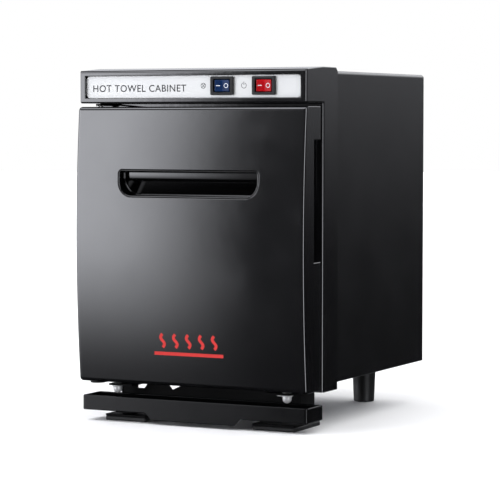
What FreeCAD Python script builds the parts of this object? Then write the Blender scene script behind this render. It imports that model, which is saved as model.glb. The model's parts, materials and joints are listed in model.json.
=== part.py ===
import FreeCAD, Part
import math
import os
import Sketcher
from FreeCAD import Placement, Rotation, Vector

# Hot towel cabinet for a salon bench. Millimetres, +Z up, front towards -Y.
# The origin is on the bench, under the middle of the object's box.
# Every "setback" is measured back from the header's front plane; every "across" from the middle.

DIMENSIONS = {
    # overall
    "front_plane": -125.5,
    "half_wide": 105,
    "sheet_steel": 1.2,
    # front frame and the header on it
    "frame_setback": 32,
    "frame_deep": 28,
    "frame_low": 31.3,
    "frame_wall": 2.5,
    "frame_side_wall": 2.2,
    "frame_lining": 2,
    "frame_chamfer": 3,
    "header_low": 266.7,
    "header_top_front": 293.7,
    "header_top_rear": 296,
    "header_wall": 2.5,
    "header_edge_round": 2.5,
    "header_low_round": 1.5,
    "opening_half": 82,
    "opening_low": 48,
    "opening_high": 252,
    # control plate and switches
    "plate_recess": 3.3,
    "plate_thick": 1,
    "plate_half": 99.4,
    "plate_low": 271,
    "plate_high": 289.4,
    "plate_corner": 3.5,
    "uv_switch_at": 28.6,
    "power_switch_at": 66.4,
    "switch_level": 280.7,
    "bezel_wide": 21,
    "bezel_high": 15,
    "bezel_proud": 2,
    "bezel_corner": 1.2,
    "housing_wide": 19,
    "housing_high": 13,
    "housing_deep": 17,
    "housing_fit": 0.1,
    "rocker_well_wide": 15,
    "rocker_well_high": 10.4,
    "rocker_well_deep": 9.5,
    "rocker_half_wide": 6.2,
    "rocker_half_high": 4.8,
    "rocker_end_high": 6.2,
    "rocker_middle_high": 4.6,
    "rocker_base": 2.4,
    "rocker_pivot_setback": 4.9,
    "rocker_pivot_radius": 1.2,
    "rocker_pivot_bore": 1.25,
    "terminal_wide": 4.8,
    "terminal_thick": 0.8,
    "terminal_long": 8,
    "terminal_pitch": 7,
    # body
    "body_half": 102.8,
    "body_low": 36.7,
    "body_top": 293.2,
    "body_front_setback": 48,
    "body_rear_setback": 250.5,
    "body_corner": 3,
    "vent_wide": 60,
    "vent_high": 4,
    "vent_pitch": 9,
    "vent_low": 190,
    "back_screw_inset": 8,
    "back_screw_top_inset": 9,
    # heated box
    "liner_front_setback": 34.5,
    "liner_rear_setback": 232,
    "liner_wall": 1.2,
    "jacket_thick": 9.5,
    "jacket_front_setback": 62,
    "heater_half": 66,
    "heater_front_setback": 78,
    "heater_rear_setback": 212,
    "heater_thick": 2,
    "heater_room": 4,
    "clamp_thick": 1.5,
    "clamp_margin": 6,
    "clamp_border": 10,
    "clamp_end_border": 20,
    "clamp_rib_half": 6,
    "sensor_across": 40,
    "sensor_level": 92,
    "sensor_bay_left": 28,
    "sensor_bay_right": 74,
    "sensor_bay_high": 30,
    "thermostat_cap_radius": 8,
    "thermostat_cap_thick": 3,
    "thermostat_base_radius": 7,
    "thermostat_base_thick": 5,
    "thermostat_blade_across": 4,
    "thermostat_blade_long": 5,
    "fuse_across": 62,
    "fuse_clip_wide": 8,
    "fuse_clip_high": 14,
    "fuse_clip_thick": 1,
    "fuse_standoff": 2.6,
    "fuse_long": 12,
    "fuse_radius": 2,
    # rack
    "rail_level": 58,
    "rail_reach": 7,
    "rail_thick": 1.5,
    "rail_web_high": 6,
    "rail_front_setback": 40,
    "rail_rear_setback": 224,
    "rack_half": 77,
    "rack_front_setback": 46,
    "rack_rear_setback": 222,
    "rack_clearance": 0.3,
    "rack_rod": 1.5,
    "rack_wire": 1,
    "rack_wires": 11,
    # lamp
    "lamp_setback": 96,
    "lamp_level": 238,
    "lamp_radius": 7.75,
    "lamp_half": 62,
    "lamp_cap_long": 6,
    "lamp_cap_over": 0.3,
    "holder_thick": 7,
    "holder_wide": 16,
    "holder_drop": 7,
    "reflector_over": 4,
    "reflector_wide": 34,
    "reflector_thick": 1,
    "guard_radius": 13,
    "guard_wall": 1.2,
    # board and terminal block
    "board_left": -70,
    "board_right": 10,
    "board_front_setback": 120,
    "board_rear_setback": 180,
    "board_thick": 1.6,
    "pillar_high": 6,
    "pillar_radius": 3,
    "pillar_inset": 5,
    "drum_across": -46,
    "drum_setback": 166,
    "drum_high": 14,
    "drum_radius": 6,
    "block_left": 34,
    "block_right": 70,
    "block_front_setback": 196,
    "block_rear_setback": 214,
    "block_high": 14,
    "block_pole_pitch": 12,
    "block_well_radius": 2.6,
    "block_well_deep": 8,
    # door
    "door_half": 106,
    "door_low": 33.8,
    "door_top": 263.9,
    "door_face_setback": -1,
    "door_rear_setback": 26.5,
    "door_bow": 5.5,
    "door_wall": 2.5,
    "door_edge_round": 3,
    "door_hinge_round": 8,
    "door_stile_inner": -97,
    "door_panel_thick": 3,
    "notch_low": 138.4,
    "notch_high": 236.9,
    "notch_setback": 12.3,
    "notch_reach": 10,
    "notch_wall": 2,
    "cup_half": 64.6,
    "cup_low": 189.6,
    "cup_high": 211.7,
    "cup_floor_setback": 11,
    "cup_wall": 2,
    "cup_top_corner": 3,
    "cup_low_corner": 12.5,
    "gasket_half": 89,
    "gasket_wide": 5,
    "gasket_thick": 5.1,
    "gasket_low": 43,
    "gasket_high": 257,
    "foam_margin": 5,
    "foam_front_setback": 3,
    "foam_clearance": 1,
    # hinge
    "pin_across": -96.5,
    "pin_setback": 19,
    "pin_radius": 2.5,
    "pin_bore": 2.55,
    "pin_reach": 10,
    "pin_tail": 1.4,
    "bush_radius": 3.5,
    "bush_long": 12,
    "hinge_plate_thick": 1.3,
    "upper_plate_half": 3.3,
    "upper_plate_nose_setback": 19,
    "lower_plate_half": 6.5,
    "lower_plate_nose_setback": 14.5,
    "hinge_plate_rear_setback": 50,
    "upper_plate_level": 265.2,
    "lower_plate_level": 31.3,
    "washer_radius": 3.4,
    "washer_thick": 0.7,
    # catch
    "catch_across": 97,
    "catch_half_wide": 4,
    "catch_low": 90,
    "catch_high": 120,
    "catch_gap": 0.8,
    "strike_thick": 1.2,
    # drip tray
    "tray_half": 105,
    "tray_setback": 2,
    "tray_deep": 29.5,
    "tray_low": 9.2,
    "tray_high": 21.6,
    "tray_wall": 1.8,
    "tray_corner": 3,
    "skirt_thick": 2.8,
    "skirt_low": 3.6,
    "skirt_half": 38,
    "skirt_slope": 7,
    # foot bracket and feet
    "bracket_thick": 1.5,
    "bracket_half": 88.6,
    "bracket_inner": 50,
    "cheek_half": 84.5,
    "cheek_front_setback": 33,
    "cheek_rear_setback": 60,
    "arm_inner": 62,
    "arm_outer": 84.5,
    "arm_front_setback": 11.5,
    "arm_rear_setback": 57,
    "cross_setback": 33.5,
    "foot_plate_front_setback": 13,
    "foot_plate_rear_setback": 62.5,
    "pad_thick": 3.8,
    "shelf_level": 8.7,
    "shelf_inner": 58,
    "shelf_outer": 78,
    "shelf_front_setback": 11,
    "window_low": 26,
    "window_far": 70.5,
    "window_near_low": 62.6,
    "window_near_top": 58.4,
    "notch_far": 40.2,
    "notch_tip": 35.5,
    "notch_near": 24.2,
    "nut_across": 79.4,
    "nut_setback": 18,
    "nut_radius": 3.7,
    "nut_flange_radius": 5,
    "nut_flange_thick": 1.2,
    "nut_high": 7,
    "stud_grip": 4,
    "stud_radius": 2,
    "stud_head_radius": 4,
    "stud_head_high": 1.5,
    "stud_head_slope": 1,
    "foot_across": 56,
    "foot_setback": 226,
    "foot_top_radius": 11,
    "foot_low_radius": 9.2,
    "foot_screw_grip": 12,
    # back
    "gland_across": -70,
    "gland_level": 60,
    "gland_radius": 6,
    "gland_bore": 3.6,
    "gland_neck": 4,
    "gland_lock_radius": 7.2,
    "gland_flange_thick": 2.5,
    "gland_flange_radius": 8.5,
    "gland_flange_slope": 1,
    "gland_tail": 4.5,
    "gland_tail_slope": 0.8,
    "screw_radius": 1.5,
    "screw_clearance": 0.3,
    "screw_long": 6,
    "screw_head_radius": 3,
    "screw_head_high": 1.8,
    "screw_head_slope": 0.9,
}

doc = FreeCAD.newDocument("hot_towel_cabinet")
sheet = doc.addObject("Spreadsheet::Sheet", "dims")
for row, (word, number) in enumerate(DIMENSIONS.items(), start=1):
    sheet.set(f"A{row}", word)
    sheet.set(f"B{row}", str(number))
    sheet.setAlias(f"B{row}", word)
doc.recompute()


class Size:
    """A length that keeps its number and the sheet expression that gives it."""

    def __init__(self, number, text):
        self.number = number
        self.text = text

    def joined(self, sign, other, number):
        return Size(number, f"({self.text} {sign} {as_size(other).text})")

    def __add__(self, other):
        return self.joined("+", other, self.number + as_size(other).number)

    def __sub__(self, other):
        return self.joined("-", other, self.number - as_size(other).number)

    def __mul__(self, other):
        return self.joined("*", other, self.number * as_size(other).number)

    def __truediv__(self, other):
        return self.joined("/", other, self.number / as_size(other).number)

    def __neg__(self):
        return Size(-self.number, f"(0 - {self.text})")

    __radd__ = __add__
    __rmul__ = __mul__


def as_size(value):
    return value if isinstance(value, Size) else Size(float(value), repr(float(value)))


class Sheet:
    """Reads a cell of the dimension sheet by its word."""

    def __getattr__(self, word):
        return Size(float(DIMENSIONS[word]), "dims." + word)


dim = Sheet()

SWITCHES = {"uv": dim.uv_switch_at, "power": dim.power_switch_at}
ROCKER_TILT = 9
VENT_ROWS = 6

# Left edge, front setback, width, depth and height of each block on the board.
BOARD_BLOCKS = (
    (-60, 132, 22, 20, 15),
    (-30, 130, 14, 18, 12),
    (-8, 134, 12, 30, 10),
)

# How far a cutting tool runs past the faces it cuts.
PAST = 1


def back(setback):
    """The Y of a plane this far behind the header's front plane."""
    return dim.front_plane + setback


def both(half):
    """A span that is even about the middle."""
    return (-half, half)


def thick(low, thickness):
    """A span from its lower limit and its thickness."""
    return (low, low + thickness)


def bind(thing, path, size):
    thing.setExpression(path, as_size(size).text)


# Primitives and booleans

TURNS = {
    "x": Rotation(Vector(0, 1, 0), 90),
    "y": Rotation(Vector(1, 0, 0), -90),
    "z": Rotation(),
}


def place(thing, x, y, z):
    for letter, size in zip("xyz", (x, y, z)):
        bind(thing, "Placement.Base." + letter, size)


def box(name, x, y, z):
    """A block between two limits on each axis."""
    block = doc.addObject("Part::Box", name)
    for side, (low, high) in zip(("Length", "Width", "Height"), (x, y, z)):
        bind(block, side, as_size(high) - low)
    place(block, x[0], y[0], z[0])
    return block


def rod(name, axis, start, length, radius, top_radius=None):
    """A round bar, or a taper, from its starting point along +X, +Y or +Z."""
    kind = "Part::Cylinder" if top_radius is None else "Part::Cone"
    bar = doc.addObject(kind, name)
    bind(bar, "Height", length)
    if top_radius is None:
        bind(bar, "Radius", radius)
    else:
        bind(bar, "Radius1", radius)
        bind(bar, "Radius2", top_radius)
    bar.Placement = Placement(Vector(), TURNS[axis])
    place(bar, *start)
    return bar


def fuse(name, *shapes):
    joined = doc.addObject("Part::MultiFuse", name)
    joined.Shapes = list(shapes)
    return joined


def cut(name, base, *tools):
    result = doc.addObject("Part::Cut", name)
    result.Base = base
    result.Tool = tools[0] if len(tools) == 1 else fuse(name + "_tools", *tools)
    return result


def common(name, first, second):
    result = doc.addObject("Part::Common", name)
    result.Base = first
    result.Tool = second
    return result


def group(name, *solids):
    """Identical pieces that share one node, as separate solids."""
    together = doc.addObject("Part::Compound", name)
    together.Links = list(solids)
    return together


def mirrored(name, source):
    """The same piece on the other side of the middle."""
    twin = doc.addObject("Part::Mirroring", name)
    twin.Source = source
    twin.Normal = Vector(1, 0, 0)
    return twin


# Sketches and features

PLANES = {"front": "XZ_Plane", "side": "YZ_Plane", "top": "XY_Plane"}


def new_body(name):
    return doc.addObject("PartDesign::Body", name)


def sketch(body, name, plane, offset=0.0):
    """A sketch on one of its body's own planes; offset runs along the plane's normal."""
    page = body.newObject("Sketcher::SketchObject", name)
    planes = [item for item in body.Origin.OriginFeatures if item.Role == PLANES[plane]]
    page.AttachmentSupport = [(planes[0], "")]
    page.MapMode = "FlatFace"
    bind(page, "AttachmentOffset.Base.z", offset)
    return page


def fix_point(page, edge, end, u, v):
    """Ties one end of a sketch line to its place, through the sheet."""
    for kind, size in (("DistanceX", u), ("DistanceY", v)):
        number = as_size(size).number
        index = page.addConstraint(Sketcher.Constraint(kind, -1, 1, edge, end, number))
        bind(page, f"Constraints[{index}]", size)


def outline(page, points, bows=None):
    """A closed outline. bows maps a side's number to the middle point of its arc."""
    bows = bows or {}
    flat = [Vector(as_size(u).number, as_size(v).number, 0) for u, v in points]
    count = len(points)
    first = page.GeometryCount
    for i, start in enumerate(flat):
        end = flat[(i + 1) % count]
        if i in bows:
            middle = Vector(as_size(bows[i][0]).number, as_size(bows[i][1]).number, 0)
            arc = Part.Arc(start, middle, end)
            page.addGeometry(arc)
        else:
            page.addGeometry(Part.LineSegment(start, end))
    ends = []
    for i in range(count):
        start_of = page.getPoint(first + i, 1)
        ends.append((1, 2) if start_of.distanceToPoint(flat[i]) < 1e-6 else (2, 1))
    for i in range(count):
        follower = (i + 1) % count
        page.addConstraint(
            Sketcher.Constraint(
                "Coincident", first + i, ends[i][1], first + follower, ends[follower][0]
            )
        )
        fix_point(page, first + i, ends[i][0], *points[i])
    for i, middle in bows.items():
        page.addGeometry(Part.Point(Vector(as_size(middle[0]).number, as_size(middle[1]).number, 0)), True)
        mark = page.GeometryCount - 1
        fix_point(page, mark, 1, *middle)
        page.addConstraint(Sketcher.Constraint("PointOnObject", mark, 1, first + i))


def rectangle(page, across, up):
    outline(page, [(across[0], up[0]), (across[1], up[0]), (across[1], up[1]), (across[0], up[1])])


def pad(body, name, page, length, midplane=False, reverse=False):
    feature = body.newObject("PartDesign::Pad", name)
    feature.Profile = page
    bind(feature, "Length", length)
    feature.Midplane = midplane
    feature.Reversed = reverse
    doc.recompute()
    return feature


def pocket(body, name, page, length, reverse=False, midplane=False):
    before = body.Shape.Volume
    feature = body.newObject("PartDesign::Pocket", name)
    feature.Profile = page
    bind(feature, "Length", length)
    feature.Reversed = reverse
    feature.Midplane = midplane
    doc.recompute()
    if feature.Shape.Volume > before - 0.01:
        raise RuntimeError(f"{name} cuts nothing")
    return feature


def edges_where(feature, test):
    """Names of the edges whose box passes the test."""
    found = []
    for number, edge in enumerate(feature.Shape.Edges, start=1):
        if test(edge.BoundBox, edge):
            found.append(f"Edge{number}")
    return found


def fillet(body, name, feature, test, radius):
    rounded = body.newObject("PartDesign::Fillet", name)
    rounded.Base = (feature, edges_where(feature, test))
    bind(rounded, "Radius", radius)
    doc.recompute()
    return rounded


def near(value, size, slack=0.05):
    return abs(value - as_size(size).number) < slack


def upright(bounds, across, setback):
    """An upright straight edge at this X and Y."""
    return (
        near(bounds.XMin, across)
        and near(bounds.XMax, across)
        and near(bounds.YMin, setback)
        and near(bounds.YMax, setback)
    )


def along_x(bounds, y, z):
    """A straight edge along X at this Y and Z."""
    return near(bounds.YMin, y) and near(bounds.YMax, y) and near(bounds.ZMin, z) and near(bounds.ZMax, z)


def round_plate(name, across, up, front, thickness, corner):
    """A plate that stands upright, with rounded corners, its front face at the given Y."""
    body = new_body(name)
    page = sketch(body, name + "_outline", "front", -front)
    rectangle(page, across, up)
    plate = pad(body, name + "_pad", page, thickness, reverse=True)
    fillet(
        body,
        name + "_corners",
        plate,
        lambda bounds, edge: bounds.XLength < 0.01 and bounds.ZLength < 0.01,
        corner,
    )
    return body


# Front frame, header and controls

def slot_for_hinge(name, level, half):
    across = (dim.pin_across - half, dim.pin_across + half)
    depth = (back(dim.frame_setback - PAST), back(dim.hinge_plate_rear_setback))
    return box(name, across, depth, thick(level, dim.hinge_plate_thick))


def front_frame():
    """One moulding: a frame round the opening, with the header standing forward at its top."""
    body = new_body("front_frame_moulding")
    page = sketch(body, "frame_profile", "side")
    frame_front = back(dim.frame_setback)
    frame_rear = back(dim.frame_setback + dim.frame_deep)
    outline(
        page,
        [
            (dim.front_plane, dim.header_low),
            (frame_front, dim.header_low),
            (frame_front, dim.frame_low),
            (frame_rear, dim.frame_low),
            (frame_rear, dim.header_top_rear - dim.frame_chamfer),
            (frame_rear - dim.frame_chamfer, dim.header_top_rear),
            (frame_front, dim.header_top_rear),
            (dim.front_plane, dim.header_top_front),
        ],
    )
    solid = pad(body, "frame_block", page, dim.half_wide * 2, midplane=True)
    solid = fillet(
        body,
        "frame_rounds",
        solid,
        lambda bounds, edge: any(
            upright(bounds, side, y)
            for side in both(dim.half_wide)
            for y in (dim.front_plane, frame_front)
        )
        or along_x(bounds, dim.front_plane, dim.header_top_front),
        dim.header_edge_round,
    )
    fillet(
        body,
        "header_low_round",
        solid,
        lambda bounds, edge: near(bounds.YMin, dim.front_plane, 0.3)
        and near(bounds.ZMax, dim.header_low, 0.01)
        and bounds.XLength > 50,
        dim.header_low_round,
    )
    opening = sketch(body, "frame_opening", "front", -(frame_front - PAST))
    rectangle(opening, both(dim.opening_half), (dim.opening_low, dim.opening_high))
    pocket(body, "frame_window", opening, dim.frame_deep + PAST * 2)
    channel = sketch(body, "frame_channel", "front", -frame_rear)
    rectangle(channel, both(dim.half_wide - dim.frame_side_wall), (dim.body_low, dim.body_top))
    rectangle(
        channel,
        both(dim.opening_half + dim.frame_lining),
        (dim.opening_low - dim.frame_lining, dim.opening_high + dim.frame_lining),
    )
    pocket(body, "frame_hollow", channel, dim.frame_deep - dim.frame_wall, reverse=True)
    hollow = sketch(body, "header_hollow", "front", -frame_rear)
    rectangle(
        hollow,
        both(dim.half_wide - dim.frame_side_wall),
        (dim.header_low + dim.header_wall, dim.header_top_front - dim.header_wall),
    )
    wall_rear = dim.plate_recess + dim.header_wall
    pocket(body, "header_cavity", hollow, dim.frame_setback + dim.frame_deep - wall_rear, reverse=True)
    recess = box(
        "plate_recess_block",
        both(dim.plate_half),
        (dim.front_plane - PAST, back(dim.plate_recess)),
        (dim.plate_low, dim.plate_high),
    )
    holes = [switch_hole("header_hole_" + name, at) for name, at in SWITCHES.items()]
    slots = [
        slot_for_hinge("upper_hinge_slot", dim.upper_plate_level, dim.upper_plate_half),
        slot_for_hinge("lower_hinge_slot", dim.lower_plate_level, dim.lower_plate_half),
    ]
    return cut("front_frame", body, recess, *holes, *slots)


def switch_span(at, wide):
    return (at - wide / 2, at + wide / 2)


def switch_hole(name, at):
    """The hole that a switch snaps into, through plate and header wall."""
    wide = dim.housing_wide + dim.housing_fit * 2
    high = dim.housing_high + dim.housing_fit * 2
    return box(
        name,
        switch_span(at, wide),
        (dim.front_plane - PAST, back(dim.plate_recess + dim.header_wall + PAST)),
        switch_span(dim.switch_level, high),
    )


def control_plate():
    """Silver plate in the header's recess, with a hole for each switch."""
    blank = round_plate(
        "control_plate_blank",
        both(dim.plate_half),
        (dim.plate_low, dim.plate_high),
        back(dim.plate_recess - dim.plate_thick),
        dim.plate_thick,
        dim.plate_corner,
    )
    holes = [switch_hole("plate_hole_" + name, at) for name, at in SWITCHES.items()]
    return cut("control_plate", blank, *holes)


def switch_housing(name, at):
    """Bezel and housing of a rocker switch, with the well that the rocker sits in."""
    plate_face = back(dim.plate_recess - dim.plate_thick)
    bezel_front = plate_face - dim.bezel_proud
    bezel = round_plate(
        name + "_bezel",
        switch_span(at, dim.bezel_wide),
        switch_span(dim.switch_level, dim.bezel_high),
        bezel_front,
        dim.bezel_proud,
        dim.bezel_corner,
    )
    housing = box(
        name + "_block",
        switch_span(at, dim.housing_wide),
        thick(plate_face, dim.housing_deep),
        switch_span(dim.switch_level, dim.housing_high),
    )
    well = box(
        name + "_well",
        switch_span(at, dim.rocker_well_wide),
        (bezel_front - PAST, bezel_front + dim.rocker_well_deep),
        switch_span(dim.switch_level, dim.rocker_well_high),
    )
    pivot = rod(
        name + "_pivot",
        "z",
        (at, back(dim.rocker_pivot_setback), dim.switch_level - dim.rocker_well_high / 2),
        dim.rocker_well_high,
        dim.rocker_pivot_radius,
    )
    hollowed = cut(name + "_hollowed", fuse(name + "_solid", bezel, housing), well)
    return fuse(name + "_switch_housing", hollowed, pivot)


def rocker(name, at):
    """A rocker, tipped to its off side. It turns on an upright pivot behind its face."""
    body = new_body(name + "_rocker_block")
    page = sketch(body, name + "_rocker_profile", "top")
    end = dim.rocker_half_wide
    outline(
        page,
        [
            (-end, -dim.rocker_end_high),
            (0, -dim.rocker_middle_high),
            (end, -dim.rocker_end_high),
            (end, dim.rocker_base),
            (-end, dim.rocker_base),
        ],
    )
    high = dim.rocker_half_high * 2
    pad(body, name + "_rocker_pad", page, high, midplane=True)
    bore_start = (0, 0, -dim.rocker_half_high - PAST)
    bore = rod(name + "_rocker_bore", "z", bore_start, high + PAST * 2, dim.rocker_pivot_bore)
    tipped = cut(name + "_rocker", body, bore)
    tipped.Placement = Placement(Vector(), Rotation(Vector(0, 0, 1), ROCKER_TILT))
    place(tipped, at, back(dim.rocker_pivot_setback), dim.switch_level)
    return tipped


def switch_terminals():
    """Three flat terminals on the back of each switch."""
    blades = []
    rear = back(dim.plate_recess - dim.plate_thick + dim.housing_deep)
    for name, at in SWITCHES.items():
        for step in (-1, 0, 1):
            blades.append(
                box(
                    f"{name}_terminal_{step + 2}",
                    switch_span(at + dim.terminal_pitch * step, dim.terminal_thick),
                    thick(rear, dim.terminal_long),
                    switch_span(dim.switch_level, dim.terminal_wide),
                )
            )
    return group("switch_terminals", *blades)


# Body

def outer_shell():
    """Steel wrap: the top and both sides in one sheet."""
    body = new_body("outer_shell")
    front = back(dim.body_front_setback)
    length = dim.body_rear_setback - dim.body_front_setback
    page = sketch(body, "shell_outline", "front", -front)
    rectangle(page, both(dim.body_half), (dim.body_low, dim.body_top))
    block = pad(body, "shell_block", page, length, reverse=True)
    rounded = fillet(
        body,
        "shell_corners",
        block,
        lambda bounds, edge: bounds.YLength > 10 and near(bounds.ZMin, dim.body_top),
        dim.body_corner,
    )
    inside = sketch(body, "shell_inside", "front", -(front - PAST))
    half = dim.body_half - dim.sheet_steel
    top = dim.body_top - dim.sheet_steel
    corner = dim.body_corner - dim.sheet_steel
    inset = corner * (1 - math.sqrt(0.5))
    outline(
        inside,
        [
            (-half, dim.body_low - PAST),
            (half, dim.body_low - PAST),
            (half, top - corner),
            (half - corner, top),
            (-half + corner, top),
            (-half, top - corner),
        ],
        bows={2: (half - inset, top - inset), 4: (-half + inset, top - inset)},
    )
    pocket(body, "shell_hollow", inside, length + PAST * 2)
    return body


def inside_width():
    return both(dim.body_half - dim.sheet_steel)


def foot_spots():
    return [(-dim.foot_across, back(dim.foot_setback)), (dim.foot_across, back(dim.foot_setback))]


def bottom_pan():
    """Steel floor of the body, with a hole for each rear foot's screw."""
    floor = box(
        "pan_floor",
        inside_width(),
        (back(dim.frame_setback + dim.frame_deep), back(dim.body_rear_setback - dim.sheet_steel)),
        thick(dim.body_low, dim.sheet_steel),
    )
    radius = dim.screw_radius + dim.screw_clearance
    holes = [
        rod(f"pan_hole_{i}", "z", (x, y, dim.body_low - PAST), dim.sheet_steel + PAST * 2, radius)
        for i, (x, y) in enumerate(foot_spots())
    ]
    return cut("bottom_pan", floor, *holes)


def back_screw_spots():
    half = dim.body_half - dim.back_screw_inset
    levels = (
        dim.body_low + dim.back_screw_inset,
        (dim.body_low + dim.body_top) / 2,
        dim.body_top - dim.back_screw_top_inset,
    )
    return [(x, level) for x in both(half) for level in levels]


def back_panel():
    """Steel back, with a row of vent slots and a hole for the cord's gland."""
    body = new_body("back_panel_blank")
    rear = back(dim.body_rear_setback)
    page = sketch(body, "back_outline", "front", -rear)
    rectangle(page, inside_width(), (dim.body_low, dim.body_top - dim.sheet_steel))
    blank = pad(body, "back_pad", page, dim.sheet_steel)
    top = dim.body_top - dim.sheet_steel
    fillet(
        body,
        "back_corners",
        blank,
        lambda bounds, edge: near(bounds.ZMin, top) and near(bounds.ZMax, top) and bounds.XLength < 0.01,
        dim.body_corner - dim.sheet_steel,
    )
    slot = sketch(body, "vent_outline", "front", -(rear + PAST))
    rectangle(slot, both(dim.vent_wide / 2), thick(dim.vent_low, dim.vent_high))
    vent = pocket(body, "vent", slot, dim.sheet_steel + PAST * 2, reverse=True)
    rows = body.newObject("PartDesign::LinearPattern", "vents")
    rows.Originals = [vent]
    rows.Direction = (slot, ["V_Axis"])
    rows.Occurrences = VENT_ROWS
    bind(rows, "Length", dim.vent_pitch * (VENT_ROWS - 1))
    body.Tip = rows
    doc.recompute()
    start = rear - dim.sheet_steel - PAST
    through = dim.sheet_steel + PAST * 2
    gland_at = (dim.gland_across, start, dim.gland_level)
    gland_hole = rod("gland_hole", "y", gland_at, through, dim.gland_radius)
    holes = [
        rod(f"back_hole_{i}", "y", (x, start, level), through, dim.screw_radius)
        for i, (x, level) in enumerate(back_screw_spots())
    ]
    return cut("back_panel", body, gland_hole, *holes)


def back_panel_screws():
    """Pan-head screws round the back panel."""
    rear = back(dim.body_rear_setback)
    crown = dim.screw_head_radius - dim.screw_head_slope
    screws = []
    for i, (x, level) in enumerate(back_screw_spots()):
        tip = (x, rear - dim.screw_long, level)
        shank = rod(f"back_shank_{i}", "y", tip, dim.screw_long, dim.screw_radius)
        seat = (x, rear, level)
        head = rod(f"back_head_{i}", "y", seat, dim.screw_head_high, dim.screw_head_radius, crown)
        screws.append(fuse(f"back_screw_{i}", shank, head))
    return group("back_panel_screws", *screws)


def cord_gland():
    """Strain relief bush in the back panel, bored for the mains lead."""
    rear = back(dim.body_rear_setback)
    x, z = dim.gland_across, dim.gland_level
    start = rear - dim.sheet_steel - dim.gland_neck
    rim = dim.gland_flange_radius - dim.gland_flange_slope
    tip = dim.gland_radius - dim.gland_tail_slope
    flange_top = rear + dim.gland_flange_thick
    whole = dim.gland_neck + dim.sheet_steel + dim.gland_flange_thick + dim.gland_tail
    neck = rod("gland_neck_rod", "y", (x, start, z), rear - start, dim.gland_radius)
    flange = rod("gland_flange", "y", (x, rear, z), dim.gland_flange_thick, dim.gland_flange_radius, rim)
    tail = rod("gland_tail_rod", "y", (x, flange_top, z), dim.gland_tail, dim.gland_radius, tip)
    lock = rod("gland_lock", "y", (x, start, z), dim.gland_neck, dim.gland_lock_radius)
    bore = rod("gland_bore_rod", "y", (x, start - PAST, z), whole + PAST * 2, dim.gland_bore)
    return cut("cord_gland", fuse("gland_solid", neck, flange, tail, lock), bore)


def rear_feet():
    """Tapered rubber feet with a screw hole up the middle."""
    well_long = dim.body_low - dim.foot_screw_grip + PAST
    well_radius = dim.screw_head_radius + dim.screw_clearance
    feet = []
    for i, (x, y) in enumerate(foot_spots()):
        cone = rod(f"foot_cone_{i}", "z", (x, y, 0), dim.body_low, dim.foot_low_radius, dim.foot_top_radius)
        hole = rod(f"foot_hole_{i}", "z", (x, y, -PAST), dim.body_low + PAST * 2, dim.screw_radius)
        well = rod(f"foot_well_{i}", "z", (x, y, -PAST), well_long, well_radius)
        feet.append(cut(f"rear_foot_{i}", cone, hole, well))
    return group("rear_feet", *feet)


def rear_foot_screws():
    """Screws that hold the rear feet, their heads up inside the wells."""
    seat = dim.body_low - dim.foot_screw_grip
    long = dim.foot_screw_grip + dim.sheet_steel
    screws = []
    for i, (x, y) in enumerate(foot_spots()):
        under = (x, y, seat - dim.screw_head_high)
        head = rod(f"foot_screw_head_{i}", "z", under, dim.screw_head_high, dim.screw_head_radius)
        shank = rod(f"foot_screw_shank_{i}", "z", (x, y, seat), long, dim.screw_radius)
        screws.append(fuse(f"foot_screw_{i}", head, shank))
    return group("rear_foot_screws", *screws)


# Heated box

def liner_box(name, grow, front, rear):
    """A block with the heated box's outline, grown by a margin all round."""
    return box(
        name,
        both(dim.opening_half + grow),
        (front, rear),
        (dim.opening_low - grow, dim.opening_high + grow),
    )


def inner_liner():
    """Aluminium box that holds the towels, open at the front."""
    front = back(dim.liner_front_setback)
    rear = back(dim.liner_rear_setback)
    block = liner_box("liner_block", 0.0, front, rear)
    hollow = liner_box("liner_hollow", -dim.liner_wall, front - PAST, rear - dim.liner_wall)
    return cut("inner_liner", block, hollow)


def insulation_jacket():
    """Felt jacket round the sides, top and back of the heated box, and under its floor."""
    front = back(dim.jacket_front_setback)
    rear = back(dim.liner_rear_setback)
    block = liner_box("jacket_block", dim.jacket_thick, front, rear + dim.jacket_thick)
    hollow = liner_box("jacket_hollow", 0.0, front - PAST, rear)
    bay_low = dim.opening_low - dim.heater_thick - dim.clamp_thick
    heater_bay = box(
        "heater_bay",
        both(dim.heater_half + dim.heater_room),
        (back(dim.heater_front_setback - dim.heater_room), back(dim.heater_rear_setback + dim.heater_room)),
        (bay_low, dim.opening_low + PAST),
    )
    sensor_bay = box(
        "sensor_bay",
        (dim.sensor_bay_left, dim.sensor_bay_right),
        (rear - PAST, rear + dim.jacket_thick + PAST),
        switch_span(dim.sensor_level, dim.sensor_bay_high),
    )
    return cut("insulation_jacket", block, hollow, heater_bay, sensor_bay)


def heater_plate():
    """Flat heater bonded under the floor of the heated box."""
    return box(
        "heater_plate",
        both(dim.heater_half),
        (back(dim.heater_front_setback), back(dim.heater_rear_setback)),
        (dim.opening_low - dim.heater_thick, dim.opening_low),
    )


def heater_clamp():
    """Sheet that holds the heater up against the floor, with two windows."""
    top = dim.opening_low - dim.heater_thick
    half = dim.heater_half - dim.clamp_margin
    front = dim.heater_front_setback + dim.clamp_margin
    rear = dim.heater_rear_setback - dim.clamp_margin
    plate = box("clamp_plate", both(half), (back(front), back(rear)), (top - dim.clamp_thick, top))
    window = box(
        "clamp_window_right",
        (dim.clamp_rib_half, half - dim.clamp_border),
        (back(front + dim.clamp_end_border), back(rear - dim.clamp_end_border)),
        (top - dim.clamp_thick - PAST, top + PAST),
    )
    return cut("heater_clamp", plate, window, mirrored("clamp_window_left", window))


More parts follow.
